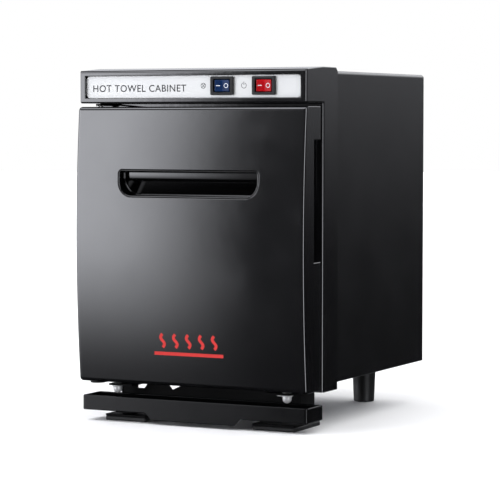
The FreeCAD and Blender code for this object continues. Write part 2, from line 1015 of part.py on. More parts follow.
def thermostat():
    """Snap disc thermostat on the back of the heated box, with two flat terminals."""
    rear = back(dim.liner_rear_setback)
    x, z = dim.sensor_across, dim.sensor_level
    base_start = rear + dim.thermostat_cap_thick
    base_end = base_start + dim.thermostat_base_thick
    cap = rod("thermostat_cap", "y", (x, rear, z), dim.thermostat_cap_thick, dim.thermostat_cap_radius)
    base_at = (x, base_start, z)
    base = rod("thermostat_base", "y", base_at, dim.thermostat_base_thick, dim.thermostat_base_radius)
    blades = [
        box(
            f"thermostat_blade_{i}",
            switch_span(x + across, dim.terminal_thick),
            thick(base_end, dim.thermostat_blade_long),
            switch_span(z, dim.terminal_wide),
        )
        for i, across in enumerate(both(dim.thermostat_blade_across))
    ]
    return fuse("thermostat", cap, base, *blades)


def thermal_fuse():
    """One-shot fuse in its clip, beside the thermostat."""
    rear = back(dim.liner_rear_setback)
    x, z = dim.fuse_across, dim.sensor_level
    clip = box(
        "fuse_clip",
        switch_span(x, dim.fuse_clip_wide),
        thick(rear, dim.fuse_clip_thick),
        switch_span(z, dim.fuse_clip_high),
    )
    start = (x, rear + dim.fuse_standoff, z - dim.fuse_long / 2)
    barrel = rod("fuse_barrel", "z", start, dim.fuse_long, dim.fuse_radius)
    return fuse("thermal_fuse", clip, barrel)


def rack_rails():
    """Ledges on both sides of the heated box, which carry the rack."""
    wall = dim.opening_half - dim.liner_wall
    depth = (back(dim.rail_front_setback), back(dim.rail_rear_setback))
    under = dim.rail_level - dim.rail_web_high
    ledge = box("rail_ledge", (wall - dim.rail_reach, wall), depth, thick(dim.rail_level, dim.rail_thick))
    web = box("rail_web", (wall - dim.rail_thick, wall), depth, (under, dim.rail_level))
    rail = fuse("rail_right", ledge, web)
    return group("rack_rails", rail, mirrored("rail_left", rail))


def wire_rack():
    """Wire rack: a round-bar border with thinner wires across it."""
    half = dim.rack_half
    front = back(dim.rack_front_setback)
    rear = back(dim.rack_rear_setback)
    level = dim.rail_level + dim.rail_thick + dim.rack_rod + dim.rack_clearance
    bars = [
        rod("rack_front_bar", "x", (-half, front, level), half * 2, dim.rack_rod),
        rod("rack_rear_bar", "x", (-half, rear, level), half * 2, dim.rack_rod),
        rod("rack_left_bar", "y", (-half, front, level), rear - front, dim.rack_rod),
        rod("rack_right_bar", "y", (half, front, level), rear - front, dim.rack_rod),
    ]
    corners = [
        corner_ball(f"rack_corner_{i}", x, y, level)
        for i, (x, y) in enumerate((x, y) for x in both(half) for y in (front, rear))
    ]
    count = DIMENSIONS["rack_wires"]
    wires = []
    for i in range(1, count + 1):
        x = -half + half * (2.0 * i / (count + 1))
        wires.append(rod(f"rack_wire_{i}", "y", (x, front, level), rear - front, dim.rack_wire))
    return fuse("wire_rack", *bars, *corners, *wires)


def corner_ball(name, x, y, z):
    ball = doc.addObject("Part::Sphere", name)
    bind(ball, "Radius", dim.rack_rod)
    place(ball, x, y, z)
    return ball


# Lamp and electrics

def uv_lamp():
    """Tube lamp across the ceiling of the heated box."""
    y, z = back(dim.lamp_setback), dim.lamp_level
    glass = rod("lamp_glass", "x", (-dim.lamp_half, y, z), dim.lamp_half * 2, dim.lamp_radius)
    caps = [
        rod(f"lamp_cap_{i}", "x", (x, y, z), dim.lamp_cap_long, dim.lamp_radius + dim.lamp_cap_over)
        for i, x in enumerate((-dim.lamp_half - dim.lamp_cap_long, dim.lamp_half))
    ]
    return fuse("uv_lamp", glass, *caps)


def liner_ceiling():
    return dim.opening_high - dim.liner_wall


def lamp_holders():
    """End holders that hang from the ceiling of the heated box."""
    holder = box(
        "holder_right",
        thick(dim.lamp_half + dim.lamp_cap_long, dim.holder_thick),
        switch_span(back(dim.lamp_setback), dim.holder_wide),
        (dim.lamp_level - dim.holder_drop, liner_ceiling()),
    )
    return group("lamp_holders", holder, mirrored("holder_left", holder))


def lamp_reflector():
    """Bright sheet above the lamp."""
    return box(
        "lamp_reflector",
        both(dim.lamp_half + dim.reflector_over),
        switch_span(back(dim.lamp_setback), dim.reflector_wide),
        (liner_ceiling() - dim.reflector_thick, liner_ceiling()),
    )


def lamp_guard():
    """Clear half-round guard under the lamp, with two walls up to the reflector."""
    y, level = back(dim.lamp_setback), dim.lamp_level
    half, radius, wall = dim.lamp_half, dim.guard_radius, dim.guard_wall
    outer = rod("guard_outer", "x", (-half, y, level), half * 2, radius)
    inner = rod("guard_inner", "x", (-half - PAST, y, level), half * 2 + PAST * 2, radius - wall)
    around = switch_span(y, (radius + PAST) * 2)
    above = box("guard_above", both(half + PAST * 2), around, (level, level + radius + PAST))
    trough = cut("guard_trough", outer, inner, above)
    rise = (level, liner_ceiling() - dim.reflector_thick)
    walls = [
        box(f"guard_wall_{i}", both(half), thick(start, wall), rise)
        for i, start in enumerate((y - radius, y + (radius - wall)))
    ]
    return fuse("lamp_guard", trough, *walls)


def jacket_top():
    return dim.opening_high + dim.jacket_thick


def board_top():
    return jacket_top() + dim.pillar_high + dim.board_thick


def ballast_board():
    """Circuit board for the lamp, on pillars above the jacket."""
    board = box(
        "board_sheet",
        (dim.board_left, dim.board_right),
        (back(dim.board_front_setback), back(dim.board_rear_setback)),
        thick(jacket_top() + dim.pillar_high, dim.board_thick),
    )
    inset = dim.pillar_inset
    spots = [
        (x, back(y))
        for x in (dim.board_left + inset, dim.board_right - inset)
        for y in (dim.board_front_setback + inset, dim.board_rear_setback - inset)
    ]
    pillars = [
        rod(f"board_pillar_{i}", "z", (x, y, jacket_top()), dim.pillar_high, dim.pillar_radius)
        for i, (x, y) in enumerate(spots)
    ]
    return fuse("ballast_board", board, *pillars)


def ballast_components():
    """Transformer, relay, driver and capacitor on the board."""
    blocks = [
        box(
            f"board_block_{i}",
            thick(as_size(left), wide),
            thick(back(as_size(front)), deep),
            thick(board_top(), high),
        )
        for i, (left, front, wide, deep, high) in enumerate(BOARD_BLOCKS)
    ]
    drum_at = (dim.drum_across, back(dim.drum_setback), board_top())
    drum = rod("board_capacitor", "z", drum_at, dim.drum_high, dim.drum_radius)
    return group("ballast_components", *blocks, drum)


def terminal_block():
    """Screw terminal block where the mains lead is joined."""
    front, rear = back(dim.block_front_setback), back(dim.block_rear_setback)
    top = jacket_top() + dim.block_high
    block = box("terminal_body", (dim.block_left, dim.block_right), (front, rear), (jacket_top(), top))
    middle = (dim.block_left + dim.block_right) / 2
    well_low = top - dim.block_well_deep
    wells = [
        rod(
            f"terminal_well_{step + 2}",
            "z",
            (middle + dim.block_pole_pitch * step, (front + rear) / 2, well_low),
            dim.block_well_deep + PAST,
            dim.block_well_radius,
        )
        for step in (-1, 0, 1)
    ]
    return cut("terminal_block", block, *wells)


# Door

def door_profile(page, shrink, rear):
    """Side outline of the door: flat back, and a front face that bows forward."""
    face = back(dim.door_face_setback) + shrink
    low = dim.door_low + shrink
    top = dim.door_top - shrink
    crown = (face - dim.door_bow, (dim.door_low + dim.door_top) / 2)
    outline(page, [(rear, low), (rear, top), (face, top), (face, low)], bows={2: crown})


def door_cavity_half():
    return dim.door_half - dim.door_wall


def door_block(name, round_edges):
    """The door's solid outline."""
    body = new_body(name)
    page = sketch(body, name + "_profile", "side")
    rear = back(dim.door_rear_setback)
    door_profile(page, 0.0, rear)
    block = pad(body, name + "_pad", page, dim.door_half * 2, midplane=True)
    if round_edges:
        face = back(dim.door_face_setback)
        block = fillet(
            body,
            name + "_front_edges",
            block,
            lambda bounds, edge: bounds.YMax < face.number + 0.1,
            dim.door_edge_round,
        )
        fillet(
            body,
            name + "_hinge_edge",
            block,
            lambda bounds, edge: upright(bounds, -dim.door_half, rear),
            dim.door_hinge_round,
        )
    return body


def notch_box(name, wall):
    """The finger notch at the door's right rear edge, grown by a wall."""
    across = (dim.door_half - dim.notch_reach - wall, dim.door_half + PAST)
    depth = (back(dim.notch_setback) - wall, back(dim.door_rear_setback + PAST))
    return box(name, across, depth, (dim.notch_low - wall, dim.notch_high + wall))


def cup_outline(name, shrink, front, depth):
    """Finger cup outline: small round corners above and large ones below."""
    body = new_body(name)
    page = sketch(body, name + "_outline", "front", -front)
    rectangle(page, both(dim.cup_half - shrink), (dim.cup_low + shrink, dim.cup_high - shrink))
    block = pad(body, name + "_pad", page, depth, reverse=True)
    for corner, level, radius in (
        ("low", dim.cup_low + shrink, dim.cup_low_corner - shrink),
        ("top", dim.cup_high - shrink, dim.cup_top_corner - shrink),
    ):
        def at_level(bounds, edge):
            """An edge through the block at this corner's height."""
            level_edge = near(bounds.ZMin, level) and near(bounds.ZMax, level)
            return level_edge and bounds.YLength > 5 and bounds.XLength < 0.01

        block = fillet(body, f"{name}_{corner}_corners", block, at_level, radius)
    return body


def hinge_levels():
    """Start and length of each bush, and of each pin, lower then upper."""
    lower_top = dim.lower_plate_level + dim.hinge_plate_thick
    return {
        "lower": {
            "bush": dim.door_low,
            "pin": dim.lower_plate_level,
            "pin_long": dim.pin_reach + dim.hinge_plate_thick + dim.pin_tail,
            "washer": lower_top,
        },
        "upper": {
            "bush": dim.door_top - dim.bush_long,
            "pin": dim.door_top - dim.pin_reach,
            "pin_long": dim.upper_plate_level + dim.hinge_plate_thick - dim.door_top + dim.pin_reach,
            "washer": dim.upper_plate_level - dim.washer_thick,
        },
    }


def hinge_point(level):
    """A point on the door's axis."""
    return (dim.pin_across, back(dim.pin_setback), level)


def bush_seats(name):
    """Holes for the bushes, a little longer than them."""
    seats = []
    for end, levels in hinge_levels().items():
        start = hinge_point(levels["bush"] - PAST / 2)
        seats.append(rod(f"{name}_{end}", "z", start, dim.bush_long + PAST, dim.bush_radius))
    return seats


def cup_front():
    """A plane just in front of the door's crown."""
    return back(dim.door_face_setback) - dim.door_bow - PAST


def cup_depth():
    return back(dim.cup_floor_setback) - cup_front()


def door_outer_shell():
    """Gloss moulding: the door's face and its four edges."""
    block = door_block("door_solid", True)
    hollow = new_body("door_hollow")
    page = sketch(hollow, "door_hollow_profile", "side", dim.door_stile_inner)
    door_profile(page, dim.door_wall, back(dim.door_rear_setback + PAST))
    pad(hollow, "door_hollow_pad", page, door_cavity_half() - dim.door_stile_inner)
    notch_wall = cut("notch_wall", notch_box("notch_outer", dim.notch_wall), notch_box("notch_clear", 0))
    trimmed = common("notch_wall_inside", notch_wall, door_block("door_solid_for_notch", False))
    skin = cut("door_skin", block, hollow, notch_box("notch_tool", 0))
    cup_hole = cup_outline("cup_hole", 0.0, cup_front(), cup_depth())
    whole = fuse("door_skin_with_notch", skin, trimmed)
    return cut("door_outer_shell", whole, cup_hole, *bush_seats("shell_seat"))


def door_handle_cup():
    """Recessed finger pull that fills the hole in the door's face."""
    solid = cup_outline("cup_block", 0.0, cup_front(), cup_depth())
    hollow_depth = cup_depth() - dim.cup_wall + PAST
    hollow = cup_outline("cup_hollow", dim.cup_wall, cup_front() - PAST, hollow_depth)
    ring = cut("cup_ring", solid, hollow)
    return common("door_handle_cup", ring, door_block("door_solid_for_cup", False))


def door_inner_panel():
    """Moulded panel that closes the back of the door, clear of the notch."""
    rear = back(dim.door_rear_setback)
    sheet_block = box(
        "door_panel_block",
        (dim.door_stile_inner, door_cavity_half()),
        (rear - dim.door_panel_thick, rear),
        (dim.door_low + dim.door_wall, dim.door_top - dim.door_wall),
    )
    notch = notch_box("panel_notch", dim.notch_wall)
    return cut("door_inner_panel", sheet_block, notch, *bush_seats("panel_seat"))


def door_insulation():
    """Foam block that fills the door behind its face."""
    left = dim.pin_across + dim.bush_radius + dim.foam_clearance
    right = door_cavity_half() - dim.notch_reach - dim.foam_clearance
    block = box(
        "foam_block",
        (left, right),
        (back(dim.foam_front_setback), back(dim.door_rear_setback) - dim.door_panel_thick),
        (dim.door_low + dim.foam_margin, dim.door_top - dim.foam_margin),
    )
    cup_room = box(
        "foam_cup_room",
        both(dim.cup_half + dim.foam_clearance),
        (cup_front(), back(dim.cup_floor_setback + dim.foam_clearance)),
        (dim.cup_low - dim.foam_clearance, dim.cup_high + dim.foam_clearance),
    )
    return cut("door_insulation", block, cup_room)


def door_gasket():
    """Rubber seal on the back of the door, round the opening."""
    rear = back(dim.door_rear_setback)
    depth = thick(rear, dim.gasket_thick)
    ring = box("gasket_block", both(dim.gasket_half), depth, (dim.gasket_low, dim.gasket_high))
    inside = box(
        "gasket_inside",
        both(dim.gasket_half - dim.gasket_wide),
        (rear - PAST, rear + dim.gasket_thick + PAST),
        (dim.gasket_low + dim.gasket_wide, dim.gasket_high - dim.gasket_wide),
    )
    return cut("door_gasket", ring, inside)


def hinge_bushes():
    """Nylon bushes in the door's top and bottom edges."""
    bushes = []
    for end, levels in hinge_levels().items():
        low = levels["bush"]
        sleeve = rod(f"bush_sleeve_{end}", "z", hinge_point(low), dim.bush_long, dim.bush_radius)
        bore = rod(f"bush_bore_{end}", "z", hinge_point(low - PAST), dim.bush_long + PAST * 2, dim.pin_bore)
        bushes.append(cut(f"bush_{end}", sleeve, bore))
    return group("hinge_bushes", *bushes)


def hinge_pins():
    """Steel pins fixed in the hinge plates."""
    pins = [
        rod(f"pin_{end}", "z", hinge_point(levels["pin"]), levels["pin_long"], dim.pin_radius)
        for end, levels in hinge_levels().items()
    ]
    return group("hinge_pins", *pins)


def hinge_washers():
    """Thrust washers between each hinge plate and the door."""
    washers = []
    for end, levels in hinge_levels().items():
        low = levels["washer"]
        disc = rod(f"washer_disc_{end}", "z", hinge_point(low), dim.washer_thick, dim.washer_radius)
        through = dim.washer_thick + PAST * 2
        bore = rod(f"washer_bore_{end}", "z", hinge_point(low - PAST), through, dim.pin_radius)
        washers.append(cut(f"washer_{end}", disc, bore))
    return group("hinge_washers", *washers)


def hinge_plate(name, level, half, nose_setback):
    """Steel strap that reaches forward from the frame and carries one hinge pin."""
    nose_at = (dim.pin_across, back(nose_setback), level)
    nose = rod(f"{name}_nose", "z", nose_at, dim.hinge_plate_thick, half)
    strap = box(
        f"{name}_strap",
        (dim.pin_across - half, dim.pin_across + half),
        (back(nose_setback), back(dim.hinge_plate_rear_setback)),
        thick(level, dim.hinge_plate_thick),
    )
    through = dim.hinge_plate_thick + PAST * 2
    bore = rod(f"{name}_bore", "z", hinge_point(level - PAST), through, dim.pin_radius)
    return cut(name, fuse(name + "_blank", nose, strap), bore)


def catch_span():
    return switch_span(dim.catch_across, dim.catch_half_wide * 2)


def catch_magnet():
    """Magnet in its case, on the frame's right stile."""
    front = back(dim.door_rear_setback + dim.strike_thick + dim.catch_gap)
    depth = (front, back(dim.frame_setback))
    return box("catch_magnet", catch_span(), depth, (dim.catch_low, dim.catch_high))


def strike_plate():
    """Steel plate on the back of the door, opposite the magnet."""
    return box(
        "strike_plate",
        catch_span(),
        thick(back(dim.door_rear_setback), dim.strike_thick),
        (dim.catch_low, dim.catch_high),
    )


# Drip tray and foot bracket

def drip_tray():
    """Open tray under the door; the middle of its front drops in a deeper skirt."""
    front = back(dim.tray_setback)
    rear = front + dim.tray_deep
    body = new_body("drip_tray")
    page = sketch(body, "tray_plan", "top", dim.tray_low)
    rectangle(page, both(dim.tray_half), (front, rear))
    block = pad(body, "tray_block", page, dim.tray_high - dim.tray_low)
    block = fillet(
        body,
        "tray_corners",
        block,
        lambda bounds, edge: any(upright(bounds, side, front) for side in both(dim.tray_half)),
        dim.tray_corner,
    )
    inside = sketch(body, "tray_inside", "top", dim.tray_high)
    wall = dim.tray_wall
    rectangle(inside, both(dim.tray_half - wall), (front + wall, rear - wall))
    pocket(body, "tray_hollow", inside, dim.tray_high - dim.tray_low - wall)
    skirt = sketch(body, "skirt_outline", "front", -front)
    slope_end = dim.skirt_half + dim.skirt_slope
    outline(
        skirt,
        [
            (-slope_end, dim.tray_low),
            (-dim.skirt_half, dim.skirt_low),
            (dim.skirt_half, dim.skirt_low),
            (slope_end, dim.tray_low),
        ],
    )
    pad(body, "tray_skirt", skirt, dim.skirt_thick, reverse=True)
    return body


def foot_bracket():
    """Folded steel: two side cheeks with arms above and foot plates below, and a cross panel."""
    thickness = dim.bracket_thick
    top = dim.frame_low
    side = box(
        "bracket_cheek",
        (dim.cheek_half - thickness, dim.cheek_half),
        (back(dim.cheek_front_setback), back(dim.cheek_rear_setback)),
        (dim.pad_thick, top),
    )
    arm = box(
        "bracket_arm",
        (dim.arm_inner, dim.arm_outer),
        (back(dim.arm_front_setback), back(dim.arm_rear_setback)),
        (top - thickness, top),
    )
    foot = box(
        "bracket_foot",
        (dim.bracket_inner, dim.bracket_half),
        (back(dim.foot_plate_front_setback), back(dim.foot_plate_rear_setback)),
        thick(dim.pad_thick, thickness),
    )
    shelf = box(
        "bracket_shelf",
        (dim.shelf_inner, dim.shelf_outer),
        (back(dim.shelf_front_setback), back(dim.cross_setback)),
        (dim.shelf_level - thickness, dim.shelf_level),
    )
    hole_at = (dim.nut_across, back(dim.nut_setback), top - thickness - PAST)
    stud_hole = rod("bracket_stud_hole", "z", hole_at, thickness + PAST * 2, dim.stud_radius)
    half = cut("bracket_side_right", fuse("bracket_side", side, arm, foot, shelf), stud_hole)
    panel = new_body("bracket_panel")
    page = sketch(panel, "panel_outline", "front", -back(dim.cross_setback))
    outline(page, cross_panel_points(dim.cheek_half - thickness, dim.shelf_level - thickness, top))
    pad(panel, "panel_pad", page, thickness, reverse=True)
    return fuse("foot_bracket", half, mirrored("bracket_side_left", half), panel)


def cross_panel_points(half, base, top):
    """Outline of the cross panel: a window at each end, and a notch left of the middle."""
    low = dim.window_low
    outer_side = [(dim.window_far, top), (dim.window_far, low)]
    inner_side = [(dim.window_near_low, low), (dim.window_near_top, top)]
    right = [(half, base), (half, top), *outer_side, *inner_side]
    notch = [(dim.notch_near, top), (dim.notch_tip, low), (dim.notch_far, top)]
    left = [(-across, level) for across, level in notch + right[::-1]]
    return right + left


def foot_pads():
    """Flat rubber pads under the bracket's foot plates."""
    pad_right = box(
        "pad_right",
        (dim.bracket_inner, dim.bracket_half),
        (back(dim.foot_plate_front_setback), back(dim.foot_plate_rear_setback)),
        (as_size(0), dim.pad_thick),
    )
    return group("foot_pads", pad_right, mirrored("pad_left", pad_right))


def bracket_cap_nuts():
    """Domed nuts with a flange, under the bracket's arms."""
    arm_low = dim.frame_low - dim.bracket_thick
    x, y = dim.nut_across, back(dim.nut_setback)
    flange_low = arm_low - dim.nut_flange_thick
    dome_centre = arm_low - dim.nut_high + dim.nut_radius
    flange = rod("nut_flange", "z", (x, y, flange_low), dim.nut_flange_thick, dim.nut_flange_radius)
    barrel = rod("nut_barrel", "z", (x, y, dome_centre), flange_low - dome_centre, dim.nut_radius)
    dome = doc.addObject("Part::Sphere", "nut_dome")
    bind(dome, "Radius", dim.nut_radius)
    place(dome, x, y, dome_centre)
    bore = rod("nut_bore", "z", (x, y, arm_low - dim.stud_grip), dim.stud_grip + PAST, dim.stud_radius)
    nut = cut("nut_right", fuse("nut_blank", flange, barrel, dome), bore)
    return group("bracket_cap_nuts", nut, mirrored("nut_left", nut))


def bracket_studs():
    """Studs of the cap nuts, with a low round head above the arm."""
    x, y = dim.nut_across, back(dim.nut_setback)
    top = dim.frame_low
    start = top - dim.bracket_thick - dim.stud_grip
    crown = dim.stud_head_radius - dim.stud_head_slope
    shank = rod("stud_shank", "z", (x, y, start), top - start, dim.stud_radius)
    head = rod("stud_head", "z", (x, y, top), dim.stud_head_high, dim.stud_head_radius, crown)
    stud = fuse("stud_right", shank, head)
    return group("bracket_studs", stud, mirrored("stud_left", stud))


def sub_parts():
    made = [front_frame(), control_plate(), switch_terminals()]
    for name, at in SWITCHES.items():
        made += [switch_housing(name, at), rocker(name, at)]
    made += [outer_shell(), bottom_pan(), back_panel(), back_panel_screws(), cord_gland()]
    made += [rear_feet(), rear_foot_screws()]
    made += [inner_liner(), insulation_jacket(), heater_plate(), heater_clamp()]
    made += [thermostat(), thermal_fuse(), rack_rails(), wire_rack()]
    made += [uv_lamp(), lamp_holders(), lamp_reflector(), lamp_guard()]
    made += [ballast_board(), ballast_components(), terminal_block()]
    made += [door_outer_shell(), door_handle_cup(), door_inner_panel(), door_insulation(), door_gasket()]
    made += [hinge_bushes(), hinge_pins(), hinge_washers()]
    upper = (dim.upper_plate_level, dim.upper_plate_half, dim.upper_plate_nose_setback)
    lower = (dim.lower_plate_level, dim.lower_plate_half, dim.lower_plate_nose_setback)
    made += [hinge_plate("upper_hinge_plate", *upper), hinge_plate("lower_hinge_plate", *lower)]
    made += [catch_magnet(), strike_plate(), drip_tray(), foot_bracket(), foot_pads()]
    made += [bracket_cap_nuts(), bracket_studs()]
    return made


def check_and_write(parts):
    """Stops on any failed object or shape, then writes one file for each sub-part."""
    doc.recompute()
    for item in doc.Objects:
        if "Invalid" in item.State or "Error" in item.State:
            raise RuntimeError(f"{item.Name} failed to build")
    for part in parts:
        if part.Shape.isNull() or not part.Shape.isValid():
            raise RuntimeError(f"{part.Label} has no valid shape")
    os.makedirs("parts", exist_ok=True)
    for part in parts:
        part.Shape.exportStep(f"parts/{part.Label}.step")
        print(f"{part.Label:24s} solids {len(part.Shape.Solids)}  {part.Shape.Volume / 1000:8.2f} cm3")


check_and_write(sub_parts())
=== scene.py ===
import json
import math

import bmesh
import bpy
from mathutils import Matrix, Vector


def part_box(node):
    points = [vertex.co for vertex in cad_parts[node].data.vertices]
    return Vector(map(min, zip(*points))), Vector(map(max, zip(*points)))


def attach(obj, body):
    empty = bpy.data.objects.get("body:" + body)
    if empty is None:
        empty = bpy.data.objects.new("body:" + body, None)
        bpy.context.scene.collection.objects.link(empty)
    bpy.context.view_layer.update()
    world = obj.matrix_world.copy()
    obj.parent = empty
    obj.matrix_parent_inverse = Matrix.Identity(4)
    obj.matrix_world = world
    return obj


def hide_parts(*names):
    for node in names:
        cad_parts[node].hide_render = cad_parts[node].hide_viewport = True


# Looks of the hot towel cabinet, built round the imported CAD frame. Metres, +Z up, front towards -Y.

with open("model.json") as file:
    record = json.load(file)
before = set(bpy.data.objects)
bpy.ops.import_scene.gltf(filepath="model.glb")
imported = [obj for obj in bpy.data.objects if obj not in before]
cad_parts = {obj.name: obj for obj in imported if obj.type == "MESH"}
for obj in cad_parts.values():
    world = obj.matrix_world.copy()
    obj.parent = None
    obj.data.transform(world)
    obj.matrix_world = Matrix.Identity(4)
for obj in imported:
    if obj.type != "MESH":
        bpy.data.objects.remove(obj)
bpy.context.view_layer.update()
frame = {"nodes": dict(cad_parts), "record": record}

MM = 0.001
record = frame["record"]
BODY_OF = {node: body for body, nodes in record["behaviour"]["bodies"].items() for node in nodes}
SLOT_OF = {part["node"]: part["material_slot"] for part in record["subparts"]}
scene = bpy.context.scene


# Camera, light and floor

CAMERA_AT = (0.8607, -1.7281, 0.2528)
CAMERA_YAW = math.radians(26.7)
CAMERA_PITCH = math.radians(3.34)
CAMERA_LENS = 160.15
SUN_POWER = 3.3
SUN_ANGLE = math.radians(110)


def add_camera():
    data = bpy.data.cameras.new("camera")
    data.lens = CAMERA_LENS
    data.sensor_width = 36
    camera = bpy.data.objects.new("camera", data)
    camera.location = CAMERA_AT
    camera.rotation_euler = (math.pi / 2 - CAMERA_PITCH, 0, CAMERA_YAW)
    scene.collection.objects.link(camera)
    scene.camera = camera


def area_light(name, place, target, size, power):
    data = bpy.data.lights.new(name, "AREA")
    data.shape = "RECTANGLE"
    data.size, data.size_y = size
    data.energy = power
    light = bpy.data.objects.new(name, data)
    light.location = place
    towards = Vector(target) - Vector(place)
    light.rotation_euler = towards.to_track_quat("-Z", "Y").to_euler()
    light.visible_camera = False
    scene.collection.objects.link(light)


def add_sun():
    """Even light from above, for the floor."""
    data = bpy.data.lights.new("overhead", "SUN")
    data.energy = SUN_POWER
    data.angle = SUN_ANGLE
    light = bpy.data.objects.new("overhead", data)
    light.visible_glossy = False
    scene.collection.objects.link(light)


def direction(bearing, height):
    """A unit vector: bearing in degrees from -Y towards +X, height in degrees above the horizon."""
    turn, rise = math.radians(bearing), math.radians(height)
    return Vector((math.sin(turn) * math.cos(rise), -math.cos(turn) * math.cos(rise), math.sin(rise)))


def sky_patch(tree, ray, bearing, height, half_wide, half_high, soft_wide, soft_high):
    """How much of a soft-edged window in the sky a ray meets, from 0 to 1."""
    def dot(vector):
        product = tree.nodes.new("ShaderNodeVectorMath")
        product.operation = "DOT_PRODUCT"
        tree.links.new(ray, product.inputs[0])
        product.inputs[1].default_value = vector
        return product.outputs["Value"]

    def math_node(operation, *values):
        node = tree.nodes.new("ShaderNodeMath")
        node.operation = operation
        for socket, value in zip(node.inputs, values):
            if isinstance(value, (int, float)):
                socket.default_value = value
            else:
                tree.links.new(value, socket)
        return node.outputs[0]

    def within(angle, half, soft):
        node = tree.nodes.new("ShaderNodeMapRange")
        node.interpolation_type = "SMOOTHERSTEP"
        tree.links.new(math_node("ABSOLUTE", angle), node.inputs["Value"])
        node.inputs["From Min"].default_value = math.radians(half - soft)
        node.inputs["From Max"].default_value = math.radians(half + soft)
        node.inputs["To Min"].default_value = 1
        node.inputs["To Max"].default_value = 0
        return node.outputs[0]

    centre = direction(bearing, 0)
    beside = direction(bearing + 90, 0)
    turn = math_node("ARCTAN2", dot(beside), dot(centre))
    rise = math_node("SUBTRACT", math_node("ARCSINE", dot(Vector((0, 0, 1)))), math.radians(height))
    return math_node("MULTIPLY", within(turn, half_wide, soft_wide), within(rise, half_high, soft_high))


SKY_BASE = 0.012
SKY_PATCHES = (
    # bearing, height, half width, half height, soft width, soft height, brightness
    (-56.0, 9.3, 27.3, 17.0, 2.6, 9.5, 4.1),
    (-56.0, -2.0, 27.3, 17.0, 2.6, 15.0, 0.3),
    (-20.0, 15.0, 50.0, 25.0, 30.0, 25.0, 0.1),
    (58.0, 8.0, 8.0, 30.0, 4.0, 12.0, 5.0),
    (-40.0, 58.0, 40.0, 14.0, 12.0, 8.0, 3.5),
    (150.0, 30.0, 45.0, 27.0, 20.0, 9.0, 1.0),
    (-162.0, -2.0, 20.0, 25.0, 10.0, 15.0, 0.7),
    (-122.0, 2.0, 18.0, 22.0, 12.0, 15.0, 0.8),
)


def add_sky():
    """White behind the object; a dim studio with soft windows for the light that falls on it."""
    world = bpy.data.worlds.new("studio")
    scene.world = world
    world.use_nodes = True
    tree = world.node_tree
    tree.nodes.clear()
    ray = tree.nodes.new("ShaderNodeTexCoord").outputs["Generated"]
    total = None
    for *shape, brightness in SKY_PATCHES:
        gain = tree.nodes.new("ShaderNodeMath")
        gain.operation = "MULTIPLY_ADD"
        tree.links.new(sky_patch(tree, ray, *shape), gain.inputs[0])
        gain.inputs[1].default_value = brightness
        if total is None:
            gain.inputs[2].default_value = SKY_BASE
        else:
            tree.links.new(total, gain.inputs[2])
        total = gain.outputs[0]
    studio = tree.nodes.new("ShaderNodeBackground")
    tree.links.new(total, studio.inputs["Strength"])
    plain = tree.nodes.new("ShaderNodeBackground")
    plain.inputs["Strength"].default_value = 1
    mix = tree.nodes.new("ShaderNodeMixShader")
    tree.links.new(tree.nodes.new("ShaderNodeLightPath").outputs["Is Camera Ray"], mix.inputs[0])
    tree.links.new(studio.outputs[0], mix.inputs[1])
    tree.links.new(plain.outputs[0], mix.inputs[2])
    output = tree.nodes.new("ShaderNodeOutputWorld")
    tree.links.new(mix.outputs[0], output.inputs["Surface"])
    plain.inputs["Color"].default_value = (1, 1, 1, 1)
    studio.inputs["Color"].default_value = (0.955, 0.97, 1.03, 1)


def add_floor():
    bm = bmesh.new()
    bmesh.ops.create_circle(bm, cap_ends=True, radius=9, segments=128)
    mesh = bpy.data.meshes.new("floor")
    bm.to_mesh(mesh)
    bm.free()
    floor = bpy.data.objects.new("floor", mesh)
    scene.collection.objects.link(floor)
    surface = Surface("floor_white", (0.93, 0.93, 0.93), 0.6)
    surface.shine(surface.noise(40 * MM), 0.55, 0.7)
    mesh.materials.append(surface.material)
    floor.visible_glossy = False


# Materials

